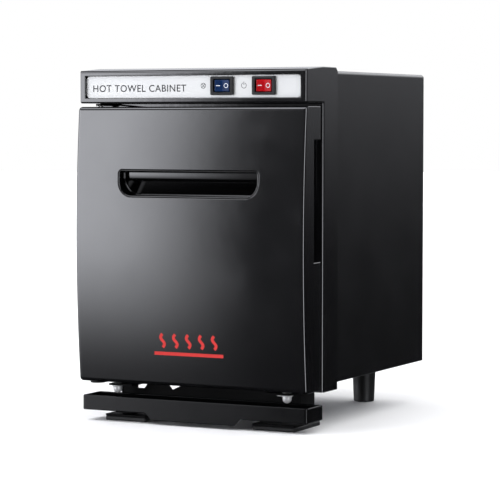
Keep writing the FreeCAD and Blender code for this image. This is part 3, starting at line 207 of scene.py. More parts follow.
class Surface:
    """A Principled material made of small patterns in the object's own space, in metres."""

    def __init__(self, name, colour, roughness, **values):
        self.material = bpy.data.materials.new(name)
        self.material.use_nodes = True
        self.tree = self.material.node_tree
        self.shader = self.tree.nodes["Principled BSDF"]
        self.space = self.tree.nodes.new("ShaderNodeTexCoord").outputs["Object"]
        self.shader.inputs["Base Color"].default_value = (*colour, 1)
        self.shader.inputs["Roughness"].default_value = roughness
        for word, value in values.items():
            self.shader.inputs[word.replace("_", " ")].default_value = value

    def add(self, kind, inputs=(), **values):
        node = self.tree.nodes.new(kind)
        for word, value in values.items():
            setattr(node, word, value)
        for word, value in dict(inputs).items():
            if hasattr(value, "is_linked"):
                self.tree.links.new(value, node.inputs[word])
            else:
                node.inputs[word].default_value = value
        return node

    def scaled(self, size, stretch):
        """Places in the object, where one step is this size."""
        scale = [share / size for share in stretch]
        return self.add("ShaderNodeMapping", {"Vector": self.space, "Scale": scale}).outputs["Vector"]

    def noise(self, size, stretch=(1, 1, 1), detail=2.0):
        place = self.scaled(size, stretch)
        inputs = {"Vector": place, "Scale": 1.0, "Detail": detail}
        return self.add("ShaderNodeTexNoise", inputs).outputs[0]

    def cells(self, size, feature="F1"):
        inputs = {"Vector": self.scaled(size, (1, 1, 1)), "Scale": 1.0}
        return self.add("ShaderNodeTexVoronoi", inputs, feature=feature).outputs["Distance"]

    def stripes(self, size, axis):
        inputs = {"Vector": self.scaled(size, (1, 1, 1)), "Scale": math.pi / 10}
        return self.add("ShaderNodeTexWave", inputs, bands_direction=axis).outputs["Fac"]

    def spread(self, value, low, high, start=0.3, end=0.7):
        inputs = {"Value": value, "From Min": start, "From Max": end, "To Min": low, "To Max": high}
        return self.add("ShaderNodeMapRange", inputs).outputs["Result"]

    def tint(self, value, colour, share=1.0, start=0.3, end=0.7):
        """Blends towards a second colour where the pattern is high."""
        socket = self.shader.inputs["Base Color"]
        mix = self.add("ShaderNodeMix", data_type="RGBA")
        mix.inputs[0].default_value = 0
        self.tree.links.new(self.spread(value, 0.0, share, start, end), mix.inputs[0])
        if socket.is_linked:
            self.tree.links.new(socket.links[0].from_socket, mix.inputs[6])
        else:
            mix.inputs[6].default_value = socket.default_value
        mix.inputs[7].default_value = (*colour, 1)
        self.tree.links.new(mix.outputs[2], socket)

    def shine(self, value, low, high, start=0.3, end=0.7):
        """Varies the roughness with the pattern."""
        self.tree.links.new(self.spread(value, low, high, start, end), self.shader.inputs["Roughness"])

    def relief(self, value, depth, strength=1.0):
        """Raises the surface by the pattern; each relief lies on the last."""
        bump = self.add("ShaderNodeBump", {"Height": value, "Distance": depth, "Strength": strength})
        socket = self.shader.inputs["Normal"]
        if socket.is_linked:
            self.tree.links.new(socket.links[0].from_socket, bump.inputs["Normal"])
        self.tree.links.new(bump.outputs["Normal"], socket)


def moulded_gloss(name, colour, peel=0.012):
    """High-gloss ABS: a faint orange peel and handling haze."""
    surface = Surface(name, colour, 0.06, IOR=1.8)
    haze = surface.noise(38 * MM, detail=5)
    surface.shine(haze, 0.045, 0.1, 0.35, 0.8)
    surface.tint(surface.noise(60 * MM), [c * 1.5 + 0.0008 for c in colour], 0.6)
    surface.relief(surface.noise(7 * MM), peel * MM)
    surface.relief(surface.noise(1.2 * MM), 0.0006 * MM)
    return surface


def moulded_satin(name, colour, low=0.34, high=0.48, grain=0.55, level=0.5):
    """Satin moulding with a fine spark-eroded grain."""
    surface = Surface(name, colour, 0.4, IOR=1.5, Specular_IOR_Level=level)
    surface.shine(surface.noise(22 * MM, detail=4), low, high)
    surface.tint(surface.noise(45 * MM), [c * 1.5 + 0.001 for c in colour], 0.7)
    surface.relief(surface.noise(grain * MM, detail=4), 0.03 * MM, 0.6)
    surface.relief(surface.noise(9 * MM), 0.02 * MM, 0.5)
    return surface


def powder_coat(name, colour, low=0.26, high=0.34, level=0.5):
    """Powder coat: pebbled film over steel."""
    surface = Surface(name, colour, 0.4, IOR=1.52, Specular_IOR_Level=level)
    surface.shine(surface.noise(30 * MM, detail=4), low, high)
    surface.relief(surface.cells(0.9 * MM, "SMOOTH_F1"), 0.03 * MM, 0.55)
    surface.relief(surface.noise(3.5 * MM), 0.03 * MM, 0.6)
    surface.tint(surface.noise(70 * MM), [c * 1.4 + 0.001 for c in colour], 0.7)
    return surface


def metal(name, colour, low, high, grain=None, depth=0.004, share=1.0):
    """Bare or plated metal. grain is the stretch of its brushing."""
    surface = Surface(name, colour, low, Metallic=share)
    surface.shine(surface.noise(12 * MM, detail=4), low, high)
    if grain:
        brushed = surface.noise(0.5 * MM, grain, 3)
        surface.relief(brushed, depth * MM, 0.5)
        surface.tint(brushed, [c * 0.82 for c in colour], 0.6)
    surface.tint(surface.noise(16 * MM, detail=5), [c * 0.8 for c in colour], 0.5, 0.5, 0.8)
    return surface


def soft_black(name, colour, low=0.55, high=0.75):
    """Rubber, with bloom and fine pitting."""
    surface = Surface(name, colour, 0.6, IOR=1.48)
    surface.shine(surface.noise(9 * MM, detail=4), low, high)
    surface.tint(surface.noise(14 * MM, detail=5), [c + 0.008 for c in colour], 0.5, 0.5, 0.8)
    surface.relief(surface.noise(0.7 * MM, detail=4), 0.05 * MM, 0.5)
    return surface


def silver_plate():
    """Matt silver sheet: fine grain along the plate."""
    surface = Surface("silver_plate", (0.62, 0.625, 0.62), 0.42, Metallic=0.5)
    grain = surface.noise(0.35 * MM, (0.04, 1, 1), 4)
    surface.shine(grain, 0.36, 0.5)
    surface.relief(grain, 0.004 * MM, 0.35)
    surface.tint(surface.noise(25 * MM, (0.4, 1, 1), 3), (0.58, 0.585, 0.58), 0.6)
    return surface


def clear_colour(name, colour, deep):
    """Tinted polycarbonate, darker where it is thick."""
    surface = Surface(name, colour, 0.3, IOR=1.3)
    surface.shader.inputs["Subsurface Weight"].default_value = 0.15
    surface.shader.inputs["Subsurface Radius"].default_value = (0.001, 0.001, 0.001)
    surface.shine(surface.noise(5 * MM, detail=4), 0.24, 0.36)
    surface.tint(surface.noise(6 * MM), deep, 0.7)
    surface.relief(surface.noise(0.6 * MM), 0.006 * MM, 0.5)
    return surface


def felt():
    surface = Surface("felt", (0.62, 0.6, 0.55), 0.92)
    surface.shader.inputs["Sheen Weight"].default_value = 0.4
    fibres = surface.noise(1.3 * MM, (0.35, 1, 1), 6)
    surface.tint(fibres, (0.42, 0.4, 0.37), 0.8)
    surface.relief(fibres, 0.5 * MM, 0.8)
    surface.relief(surface.noise(12 * MM), 0.8 * MM, 0.5)
    surface.tint(surface.cells(6 * MM), (0.3, 0.34, 0.45), 0.5, 0.0, 0.12)
    return surface


def foam():
    surface = Surface("foam", (0.78, 0.74, 0.6), 0.9)
    pores = surface.cells(1.4 * MM)
    surface.tint(pores, (0.55, 0.5, 0.38), 0.8, 0.0, 0.5)
    surface.relief(pores, 0.4 * MM, 0.9)
    surface.relief(surface.noise(10 * MM), 0.5 * MM, 0.5)
    return surface


def silicone():
    surface = Surface("heater_silicone", (0.55, 0.14, 0.045), 0.55, IOR=1.42)
    weave = surface.stripes(1.1 * MM, "X")
    cross = surface.stripes(1.1 * MM, "Y")
    surface.relief(weave, 0.05 * MM, 0.6)
    surface.relief(cross, 0.05 * MM, 0.6)
    surface.shine(surface.noise(9 * MM), 0.45, 0.7)
    surface.tint(surface.noise(20 * MM, detail=4), (0.4, 0.09, 0.03), 0.7)
    return surface


def glass(name, colour, weight, roughness):
    surface = Surface(name, colour, roughness, IOR=1.47)
    surface.shader.inputs["Transmission Weight"].default_value = weight
    surface.shine(surface.noise(10 * MM, detail=4), roughness, roughness + 0.06)
    surface.relief(surface.noise(14 * MM), 0.02 * MM, 0.4)
    return surface


def board():
    """Solder mask over copper tracks."""
    surface = Surface("board_green", (0.012, 0.12, 0.04), 0.3)
    tracks = surface.cells(5 * MM)
    surface.tint(tracks, (0.03, 0.25, 0.08), 0.8, 0.28, 0.3)
    surface.relief(tracks, 0.05 * MM, 0.4)
    surface.shine(surface.noise(7 * MM), 0.25, 0.42)
    return surface


def white_moulding():
    surface = moulded_satin("white_plastic", (0.74, 0.73, 0.69), 0.38, 0.5)
    surface.shader.inputs["Subsurface Weight"].default_value = 0.1
    surface.shader.inputs["Subsurface Radius"].default_value = (0.002, 0.002, 0.002)
    return surface


def phenolic():
    surface = moulded_satin("thermostat_body", (0.05, 0.03, 0.02), 0.3, 0.5)
    surface.tint(surface.noise(0.8 * MM, detail=5), (0.12, 0.08, 0.05), 0.5, 0.5, 0.7)
    return surface


def printed(name, colour):
    """Screen-printed or enamelled mark."""
    surface = Surface(name, colour, 0.7, Specular_IOR_Level=0.15)
    surface.shine(surface.noise(2 * MM, detail=4), 0.6, 0.8)
    surface.tint(surface.noise(1.5 * MM, detail=4), [c * 0.85 for c in colour], 0.5)
    return surface


BLACK = (0.002, 0.002, 0.0023)
MATERIALS = {
    "frame_black": moulded_gloss("frame_black", (0.0025, 0.0025, 0.0028), 0.02),
    "silver_plate": silver_plate(),
    "plated_brass": metal("plated_brass", (0.72, 0.6, 0.38), 0.25, 0.4),
    "switch_black": moulded_satin("switch_black", (0.005, 0.005, 0.0055), 0.36, 0.5, level=0.35),
    "blue_rocker": clear_colour("blue_rocker", (0.004, 0.02, 0.075), (0.003, 0.012, 0.05)),
    "red_rocker": clear_colour("red_rocker", (0.36, 0.0, 0.004), (0.22, 0.0, 0.002)),
    "shell_paint": powder_coat("shell_paint", (0.0025, 0.0025, 0.0028), 0.17, 0.23),
    "zinc_steel": metal("zinc_steel", (0.62, 0.62, 0.6), 0.26, 0.42),
    "gland_nylon": moulded_satin("gland_nylon", (0.012, 0.012, 0.012), 0.4, 0.55),
    "foot_rubber": soft_black("foot_rubber", (0.005, 0.005, 0.005), 0.42, 0.6),
    "liner_aluminium": metal("liner_aluminium", (0.78, 0.79, 0.8), 0.28, 0.42, (1, 0.03, 1)),
    "felt": felt(),
    "heater_silicone": silicone(),
    "thermostat_body": phenolic(),
    "rack_chrome": metal("rack_chrome", (0.78, 0.78, 0.79), 0.06, 0.16),
    "lamp_glass": glass("lamp_glass", (0.86, 0.9, 1.0), 0.9, 0.04),
    "white_plastic": white_moulding(),
    "clear_guard": glass("clear_guard", (0.93, 0.95, 0.96), 0.95, 0.08),
    "board_green": board(),
    "component_black": moulded_satin("component_black", (0.02, 0.02, 0.022), 0.35, 0.5),
    "door_gloss": moulded_gloss("door_gloss", BLACK, 0.004),
    # The cup's black is set darker than the door's: painted shade for the pocket.
    "door_cup": moulded_gloss("door_cup", (0.0003, 0.0003, 0.0004), 0.004),
    "door_panel": moulded_satin("door_panel", (0.03, 0.03, 0.031)),
    "foam": foam(),
    "gasket_rubber": soft_black("gasket_rubber", (0.014, 0.014, 0.014)),
    "hinge_paint": powder_coat("hinge_paint", (0.003, 0.003, 0.003), 0.4, 0.5, 0.2),
    "tray_plastic": moulded_satin("tray_plastic", (0.002, 0.002, 0.0022), 0.13, 0.18, level=0.22),
    # The bracket's very dark colour and weak reflection are painted shade under the door and tray.
    "bracket_paint": powder_coat("bracket_paint", (0.0015, 0.0015, 0.0016), 0.5, 0.6, 0.12),
    "nut_chrome": metal("nut_chrome", (0.88, 0.88, 0.88), 0.36, 0.48, share=0.3),
}
MARKS = {
    "plate_print": printed("plate_print", (0.03, 0.03, 0.032)),
    "switch_print": printed("switch_print", (0.72, 0.74, 0.78)),
    "red_print": printed("red_print", (0.5, 0.035, 0.032)),
}


# Meshes

SMOOTH_UP_TO = math.radians(32)


def show(name, mesh, node, slot=None, material=None, replaces=()):
    """Puts a finished mesh in the scene, riding on a CAD node's body."""
    mesh.validate()
    mesh.polygons.foreach_set("use_smooth", [True] * len(mesh.polygons))
    mesh.set_sharp_from_angle(angle=SMOOTH_UP_TO)
    thing = bpy.data.objects.new(name, mesh)
    scene.collection.objects.link(thing)
    slot = slot or SLOT_OF[node]
    mesh.materials.clear()
    mesh.materials.append(material or MATERIALS[slot].material)
    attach(thing, BODY_OF[node])
    if replaces:
        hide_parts(*replaces)
    return thing


def finished(bm, name):
    bmesh.ops.recalc_face_normals(bm, faces=bm.faces)
    mesh = bpy.data.meshes.new(name)
    bm.to_mesh(mesh)
    bm.free()
    return mesh


def round_edges(thing, rule, segments=3):
    """Rounds each sharp edge by the width in metres that rule gives for its middle and direction."""
    bm = bmesh.new()
    bm.from_mesh(thing.data)
    weight = bm.edges.layers.float.new("bevel_weight_edge")
    widths = {}
    for edge in bm.edges:
        if len(edge.link_faces) == 2 and edge.calc_face_angle(0) > SMOOTH_UP_TO:
            start, end = (vert.co for vert in edge.verts)
            widths[edge] = rule((start + end) / 2, (end - start).normalized())
    widest = max(widths.values())
    for edge, width in widths.items():
        edge[weight] = width / widest
    bm.to_mesh(thing.data)
    bm.free()
    bevel = thing.modifiers.new("rounding", "BEVEL")
    bevel.limit_method = "WEIGHT"
    bevel.width = widest
    bevel.segments = segments
    bevel.use_clamp_overlap = False
    thing.modifiers.new("even_shading", "WEIGHTED_NORMAL").keep_sharp = True
    return thing


def refined(node, width, segments=2):
    """A CAD piece with clean faces and softened edges; width is in metres or a rule for round_edges."""
    bm = bmesh.new()
    bm.from_mesh(frame["nodes"][node].data)
    bmesh.ops.remove_doubles(bm, verts=bm.verts, dist=0.002 * MM)
    bmesh.ops.dissolve_limit(bm, angle_limit=math.radians(0.5), verts=bm.verts, edges=bm.edges)
    thing = show(node + "_finished", finished(bm, node + "_finished"), node, replaces=[node])
    return round_edges(thing, width if callable(width) else lambda middle, along: width, segments)


def prism(points, axis, start, end):
    """A solid from an outline in the two other axes, in order, between two places on its axis."""
    bm = bmesh.new()
    order = {"x": (2, 0, 1), "y": (0, 2, 1), "z": (0, 1, 2)}[axis]
    ends = []
    for level in (start, end):
        ring = []
        for u, v in points:
            triple = (u, v, level)
            ring.append(bm.verts.new([triple[i] for i in order]))
        ends.append(ring)
    bm.faces.new(ends[0])
    bm.faces.new(ends[1])
    count = len(points)
    for i in range(count):
        j = (i + 1) % count
        bm.faces.new((ends[0][i], ends[0][j], ends[1][j], ends[1][i]))
    bmesh.ops.recalc_face_normals(bm, faces=bm.faces)
    return bm


def block(low, high):
    plan = [(low[0], low[1]), (high[0], low[1]), (high[0], high[1]), (low[0], high[1])]
    return prism(plan, "z", low[2], high[2])


def arc(centre, radius, start, end, steps):
    """Points on a circle between two angles in degrees."""
    points = []
    for i in range(steps + 1):
        angle = math.radians(start + (end - start) * i / steps)
        points.append((centre[0] + radius * math.cos(angle), centre[1] + radius * math.sin(angle)))
    return points


def rounded_outline(u, v, radii, steps=8):
    """A rectangle with its own radius at each corner: low-left, low-right, high-right, high-left."""
    corners = ((u[0], v[0], 1, 1), (u[1], v[0], -1, 1), (u[1], v[1], -1, -1), (u[0], v[1], 1, -1))
    points = []
    for i, ((x, y, side, rise), radius) in enumerate(zip(corners, radii)):
        start = 180 + 90 * i
        points += arc((x + side * radius, y + rise * radius), radius, start, start + 90, steps)
    return points


def combine(base, others, operation):
    """The first mesh with each of the others added, or taken away."""
    def temporary(bm):
        mesh = bpy.data.meshes.new("temporary")
        bm.to_mesh(mesh)
        bm.free()
        thing = bpy.data.objects.new("temporary", mesh)
        scene.collection.objects.link(thing)
        return thing

    body = temporary(base)
    tools = [temporary(other) for other in others]
    for tool in tools:
        modifier = body.modifiers.new("join", "BOOLEAN")
        modifier.operation = operation
        modifier.solver = "EXACT"
        modifier.object = tool
    depsgraph = bpy.context.evaluated_depsgraph_get()
    result = bmesh.new()
    result.from_object(body, depsgraph)
    for thing in [body, *tools]:
        mesh = thing.data
        bpy.data.objects.remove(thing)
        bpy.data.meshes.remove(mesh)
    bmesh.ops.remove_doubles(result, verts=result.verts, dist=0.002 * MM)
    return result


def lofted(rings, closed_ends=(True, True)):
    """A skin through rings of equal length."""
    bm = bmesh.new()
    loops = [[bm.verts.new(point) for point in ring] for ring in rings]
    count = len(rings[0])
    for first, second in zip(loops, loops[1:]):
        for i in range(count):
            j = (i + 1) % count
            bm.faces.new((first[i], first[j], second[j], second[i]))
    if closed_ends[0]:
        bm.faces.new(loops[0])
    if closed_ends[1]:
        bm.faces.new(loops[-1])
    return bm


def turned(profile, centre, axis="z", steps=48, closed_ends=(True, True)):
    """A solid of revolution. profile is a list of (distance from the axis, place along it)."""
    order = {"x": (2, 0, 1), "y": (0, 2, 1), "z": (0, 1, 2)}[axis]
    rings = []
    for radius, level in profile:
        ring = []
        for i in range(steps):
            angle = 2 * math.pi * i / steps
            triple = (radius * math.cos(angle), radius * math.sin(angle), level)
            ring.append([centre[j] + triple[order[j]] for j in range(3)])
        rings.append(ring)
    return lofted(rings, closed_ends)


def bored(profile, centre, axis="z", steps=48):
    """A turned solid with a hole up its axis; the profile is a closed loop."""
    bm = turned([*profile, profile[0]], centre, axis, steps, (False, False))
    bmesh.ops.remove_doubles(bm, verts=bm.verts, dist=0.002 * MM)
    return bm


def copies(bm, places):
    """The same shape at several places."""
    mesh = bpy.data.meshes.new("temporary")
    bm.to_mesh(mesh)
    bm.free()
    total = bmesh.new()
    for place in places:
        count = len(total.verts)
        total.from_mesh(mesh)
        total.verts.ensure_lookup_table()
        bmesh.ops.transform(total, matrix=place, verts=total.verts[count:])
    bpy.data.meshes.remove(mesh)
    return total


def swept(u, v, corner, section, level, steps=10):
    """A section carried round a rounded rectangle in X and Z. section is (outward, along +Y)."""
    rings = []
    for i, (x, z, side, rise) in enumerate(
        ((u[0], v[0], 1, 1), (u[1], v[0], -1, 1), (u[1], v[1], -1, -1), (u[0], v[1], 1, -1))
    ):
        for step in range(steps + 1):
            angle = math.radians(180 + 90 * i + 90 * step / steps)
            out_x, out_z = math.cos(angle), math.sin(angle)
            base_x, base_z = x + side * corner, z + rise * corner
            rings.append([
                (base_x + out_x * (corner + out), level + deep, base_z + out_z * (corner + out))
                for out, deep in section
            ])
    bm = lofted([*rings, rings[0]], (False, False))
    bmesh.ops.remove_doubles(bm, verts=bm.verts, dist=0.002 * MM)
    return bm


def merged(*parts):
    """Several meshes in one."""
    total = bmesh.new()
    for part in parts:
        mesh = bpy.data.meshes.new("temporary")
        part.to_mesh(mesh)
        part.free()
        total.from_mesh(mesh)
        bpy.data.meshes.remove(mesh)
    return total


# Door

DOOR_EDGE = 3 * MM
DOOR_BOW = 5.5 * MM
DOOR_WALL = 2.5 * MM
STILE = 9 * MM
REBATE_DEEP = 1.6 * MM


def door_face(level):
    """Y of the door's bowed face at a height."""
    low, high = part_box("door_outer_shell")
    half = (high[2] - low[2]) / 2
    middle = (high[2] + low[2]) / 2
    radius = (half ** 2 + DOOR_BOW ** 2) / (2 * DOOR_BOW)
    return low[1] + radius - math.sqrt(radius ** 2 - (level - middle) ** 2)


def door_outline(shrink, rear, steps):
    """Side outline of the door in Y and Z, flat behind and bowed in front."""
    low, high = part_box("door_outer_shell")
    bottom, top = low[2] + shrink, high[2] - shrink
    points = [(rear, bottom), (rear, top)]
    for i in range(steps + 1):
        level = top + (bottom - top) * i / steps
        points.append((door_face(level) + shrink, level))
    return points


CUP_STEPS = 10


def cup_outline(shrink, top_corner=3 * MM, low_corner=12.5 * MM, levels=()):
    """Outline of the finger cup; levels are heights of extra points on its two sides."""
    low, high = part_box("door_handle_cup")
    span = (low[0] + shrink, high[0] - shrink)
    rise = (low[2] + shrink, high[2] - shrink)
    below = max(low_corner - shrink, 1 * MM)
    above = max(top_corner - shrink, 0.8 * MM)
    points = rounded_outline(span, rise, (below, below, above, above), CUP_STEPS)
    half = len(points) // 2
    right = [(span[1], level) for level in levels]
    left = [(span[0], level) for level in reversed(levels)]
    return points[:half] + right + points[half:] + left


NOTCH_LOW = 138.4 * MM
NOTCH_HIGH = 236.9 * MM
NOTCH_REACH = 10 * MM
NOTCH_DEEP = 14.2 * MM


def door_shell():
    """Gloss shell: bowed face, four walls, hole for the cup and the finger notch at its right rear edge."""
    low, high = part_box("door_outer_shell")
    front, rear = low[1], high[1]
    solid = prism(door_outline(0, rear, 56), "x", low[0], high[0])
    cavity = prism(
        door_outline(DOOR_WALL, rear + MM, 14), "x", low[0] + STILE, high[0] - NOTCH_REACH - 2 * MM
    )
    notch = block(
        (high[0] - NOTCH_REACH, rear - NOTCH_DEEP, NOTCH_LOW), (high[0] + MM, rear + MM, NOTCH_HIGH)
    )
    cup = prism(cup_outline(0), "y", front - 5 * MM, front + 12 * MM)
    rebate = block(
        (high[0] - NOTCH_REACH, rear - REBATE_DEEP, low[2] - MM), (high[0] + MM, rear + MM, high[2] + MM)
    )
    shell = combine(solid, [cavity, notch, cup, rebate], "DIFFERENCE")
    thing = show("door_outer_shell_finished", finished(shell, "door_shell"), "door_outer_shell",
                 replaces=["door_outer_shell"])

    def width(middle, along):
        on_face = abs(middle.y - door_face(middle.z)) < 0.3 * MM
        outer_side = min(middle.x - low[0], high[0] - middle.x) < 0.1 * MM
        outer_end = min(middle.z - low[2], high[2] - middle.z) < 0.1 * MM
        if on_face and (outer_side or outer_end):
            return DOOR_EDGE
        if outer_side and outer_end and abs(along.y) > 0.9:
            return DOOR_EDGE if middle.x < 0 else 0.5 * MM
        if outer_end and middle.x > high[0] - 5 * MM and abs(along.x) > 0.9 and not on_face:
            return DOOR_EDGE
        if outer_side and middle.x < 0 and middle.y > rear - 0.1 * MM:
            return DOOR_EDGE
        if on_face:
            return 0.9 * MM
        return 0.7 * MM

    return round_edges(thing, width, 5)


CUP_BAND = 7 * MM
CUP_LEAN = math.radians(24)
CUP_WALL = 1 * MM
CUP_FILLET = 1.2 * MM
CUP_FIT = 0.15 * MM
LIP_PROUD = 0.25 * MM
LIP_OUTER = 0.2 * MM
LIP_INNER = 0.6 * MM


def handle_cup():
    """Finger cup: a rolled lip round the hole, then a pocket whose back leans in below an upright band."""
    low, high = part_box("door_handle_cup")
    crease = high[2] - CUP_BAND
    levels = (crease - 0.3 * MM, crease + 0.3 * MM)

    def outline(shrink):
        return cup_outline(shrink, levels=levels)

    def ring(shrink, depth):
        return [(x, door_face(z) + depth, z) for x, z in outline(shrink)]

    def back_ring(shrink, lift):
        points = []
        for x, z in outline(shrink):
            lean = (min(z, crease) - low[2]) * math.tan(CUP_LEAN)
            points.append((x, high[1] - 1 * MM - lean - lift, z))
        return points

    rings = [back_ring(CUP_FIT, -0.7 * MM), ring(CUP_FIT, 3 * MM), ring(CUP_FIT, 0.6 * MM)]
    for angle in range(0, 91, 15):
        turn = math.radians(angle)
        shrink = CUP_FIT + (1 - math.cos(turn)) * LIP_OUTER
        rings.append(ring(shrink, LIP_PROUD - math.sin(turn) * 2 * LIP_PROUD))
    for angle in range(10, 91, 10):
        turn = math.radians(angle)
        shrink = CUP_FIT + LIP_OUTER + math.sin(turn) * LIP_INNER
        rings.append(ring(shrink, 2 * LIP_PROUD - math.cos(turn) * 3 * LIP_PROUD))
    for angle in range(0, 91, 15):
        turn = math.radians(angle)
        lift = (1 - math.sin(turn)) * CUP_FILLET
        rings.append(back_ring(CUP_WALL + (1 - math.cos(turn)) * CUP_FILLET, lift))
    rings.append(back_ring(CUP_WALL + CUP_FILLET + 0.3 * MM, 0))
    bm = lofted(rings, (False, False))
    bm.verts.ensure_lookup_table()
    count = len(rings[0])
    for first in (0, len(rings) - 1):
        loop = bm.verts[first * count:(first + 1) * count]
        pairs = [(loop[(CUP_STEPS - j) % count], loop[CUP_STEPS + 1 + j]) for j in range(count // 2)]
        for (left, right), (left_above, right_above) in zip(pairs, pairs[1:]):
            bm.faces.new((left, right, right_above, left_above))
    show("door_handle_cup_finished", finished(bm, "cup"), "door_handle_cup", replaces=["door_handle_cup"])


# Marks

INK_PROUD = 0.05 * MM
INK_SUNK = 0.02 * MM


def flat_mark(name, outlines, front, node, material):
    """Printed shapes, a hair proud of an upright face. Outlines are closed loops of (x, z)."""
    parts = [prism(points, "y", front - INK_PROUD, front + INK_SUNK) for points in outlines]
    return show(name, finished(merged(*parts), name), node, material=material)


def ribbon(points, width):
    """A closed outline of even width along an open line in X and Z."""
    left, right = [], []
    for i, point in enumerate(points):
        before = Vector(points[max(i - 1, 0)])
        after = Vector(points[min(i + 1, len(points) - 1)])
        along = (after - before).normalized()
        side = Vector((-along.y, along.x)) * width / 2
        left.append(tuple(Vector(point) + side))
        right.append(tuple(Vector(point) - side))
    return left + right[::-1]


def washer_outlines(centre, radius, width, steps=36):
    """A ring as two half bands."""
    halves = []
    for start in (0, 180):
        outer = arc(centre, radius, start, start + 180, steps // 2)
        inner = arc(centre, radius - width, start + 180, start, steps // 2)
        halves.append(outer + inner)
    return halves


TITLE_WIDE = 88 * MM
TITLE_HIGH = 5.8 * MM


def plate_lettering():
    """Generic title on the control plate."""
    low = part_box("control_plate")[0]
    data = bpy.data.curves.new("lettering", "FONT")
    data.body = "HOT TOWEL CABINET"
    data.size = 9.4 * MM
    data.space_character = 1.08
    data.extrude = 0.03 * MM
    data.offset = 0.07 * MM
    data.resolution_u = 6
    source = bpy.data.objects.new("lettering", data)
    scene.collection.objects.link(source)
    mesh = bpy.data.meshes.new_from_object(source)
    bpy.data.objects.remove(source)
    xs = [vert.co.x for vert in mesh.vertices]
    ys = [vert.co.y for vert in mesh.vertices]
    stretch = TITLE_WIDE / (max(xs) - min(xs))
    rise = TITLE_HIGH / (max(ys) - min(ys))
    left, base = low[0] + 6.5 * MM, low[2] + 5.1 * MM
    place = Matrix.Translation((left, low[1] - 0.02 * MM, base)) @ Matrix.Rotation(math.pi / 2, 4, "X")
    place = place @ Matrix.Diagonal((stretch, rise, 1, 1)) @ Matrix.Translation((-min(xs), -min(ys), 0))
    mesh.transform(place)
    show("plate_title", mesh, "control_plate", material=MARKS["plate_print"].material)


def plate_symbols():
    """A lamp sign and a power sign, each left of its switch."""
    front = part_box("control_plate")[0][1]
    level = 280.8 * MM
    lamp = Vector((11 * MM, level))
    signs = washer_outlines(lamp, 2.3 * MM, 0.45 * MM)
    for turn in (45, 135):
        along = Vector((math.cos(math.radians(turn)), math.sin(math.radians(turn)))) * 2 * MM
        signs.append(ribbon([lamp - along, lamp + along], 0.4 * MM))
    power = Vector((48 * MM, level))
    outer = arc(power, 2.4 * MM, 120, 420, 30)
    inner = arc(power, 1.95 * MM, 420, 120, 30)
    signs.append(outer + inner)
    signs.append(ribbon([power + Vector((0, 0.5 * MM)), power + Vector((0, 3 * MM))], 0.45 * MM))
    flat_mark("plate_symbols", signs, front, "control_plate", MARKS["plate_print"].material)


def steam_sign():
    """Five red steam waves above a flat towel, on the lower middle of the door."""
    waves = []
    base = 66 * MM
    for centre in (-24 * MM, -12 * MM, 0, 12 * MM, 24 * MM):
        line = []
        for i in range(17):
            share = i / 16
            line.append((centre + math.sin(share * 2 * math.pi) * 1.7 * MM, base + share * 11 * MM))
        waves.append(ribbon(line, 2.6 * MM))
    towel = [(-32 * MM, base - 5.2 * MM), (32 * MM, base - 5.2 * MM)]
    waves.append(ribbon(towel, 2.8 * MM))
    parts = []
    for points in waves:
        front = [(x, door_face(z) - 0.06 * MM, z) for x, z in points]
        rear = [(x, door_face(z) + 0.1 * MM, z) for x, z in points]
        parts.append(lofted([rear, front]))
    show("door_steam_sign", finished(merged(*parts), "sign"), "door_outer_shell",
         material=MARKS["red_print"].material)


# Switches

ROCKER_TILT = math.radians(9)


def rocker(node):
    """A see-saw rocker with two slanted faces and its white marks, tipped to its off side."""
    joint = [joint for joint in record["behaviour"]["joints"] if joint["child"] == BODY_OF[node]][0]
    pivot = Vector(joint["pos_m"])
    half, tall = 6.2 * MM, 4.75 * MM
    end_high, middle_high, base = 5.75 * MM, 4.6 * MM, 2.4 * MM

    def front(across):
        share = abs(across) / half
        return middle_high + (end_high - middle_high) * share ** 1.15

    steps = 24
    outline = [(half, base), (-half, base)]
    for i in range(steps + 1):
        across = -half + 2 * half * i / steps
        outline.append((across, -front(across)))
    solid = prism(outline, "z", -tall, tall)
    place = Matrix.Translation(pivot) @ Matrix.Rotation(ROCKER_TILT, 4, "Z")
    bmesh.ops.transform(solid, matrix=place, verts=solid.verts)
    thing = show(node + "_finished", finished(solid, node), node, replaces=[node])
    round_edges(thing, lambda middle, along: 0.45 * MM, 3)
    marks = {
        "dash": [ribbon([(-5 * MM, 0), (-1.9 * MM, 0)], 0.55 * MM)],
        "ring": washer_outlines((3.4 * MM, 0), 1.9 * MM, 0.42 * MM),
    }
    for mark, shapes in marks.items():
        parts = []
        for points in shapes:
            rings = []
            for lift in (0.08 * MM, -0.05 * MM):
                rings.append([(x, -front(x) + lift, z) for x, z in points])
            parts.append(lofted(rings))
        bm = merged(*parts)
        bmesh.ops.transform(bm, matrix=place, verts=bm.verts)
        show(f"{node}_{mark}", finished(bm, mark), node, material=MARKS["switch_print"].material)


def switches():
    for name in ("uv", "power"):
        rocker(name + "_rocker")
        refined(name + "_switch_housing", 0.45 * MM, 3)


# Tray

def tray_bottom(x, low, drop_half=38 * MM, slope=7 * MM, skirt=5.6 * MM):
    """Lower edge of the tray's front, with a soft step down to its deeper middle."""
    share = min(max((abs(x) - drop_half) / slope, 0), 1)
    return low + skirt * share * share * (3 - 2 * share)


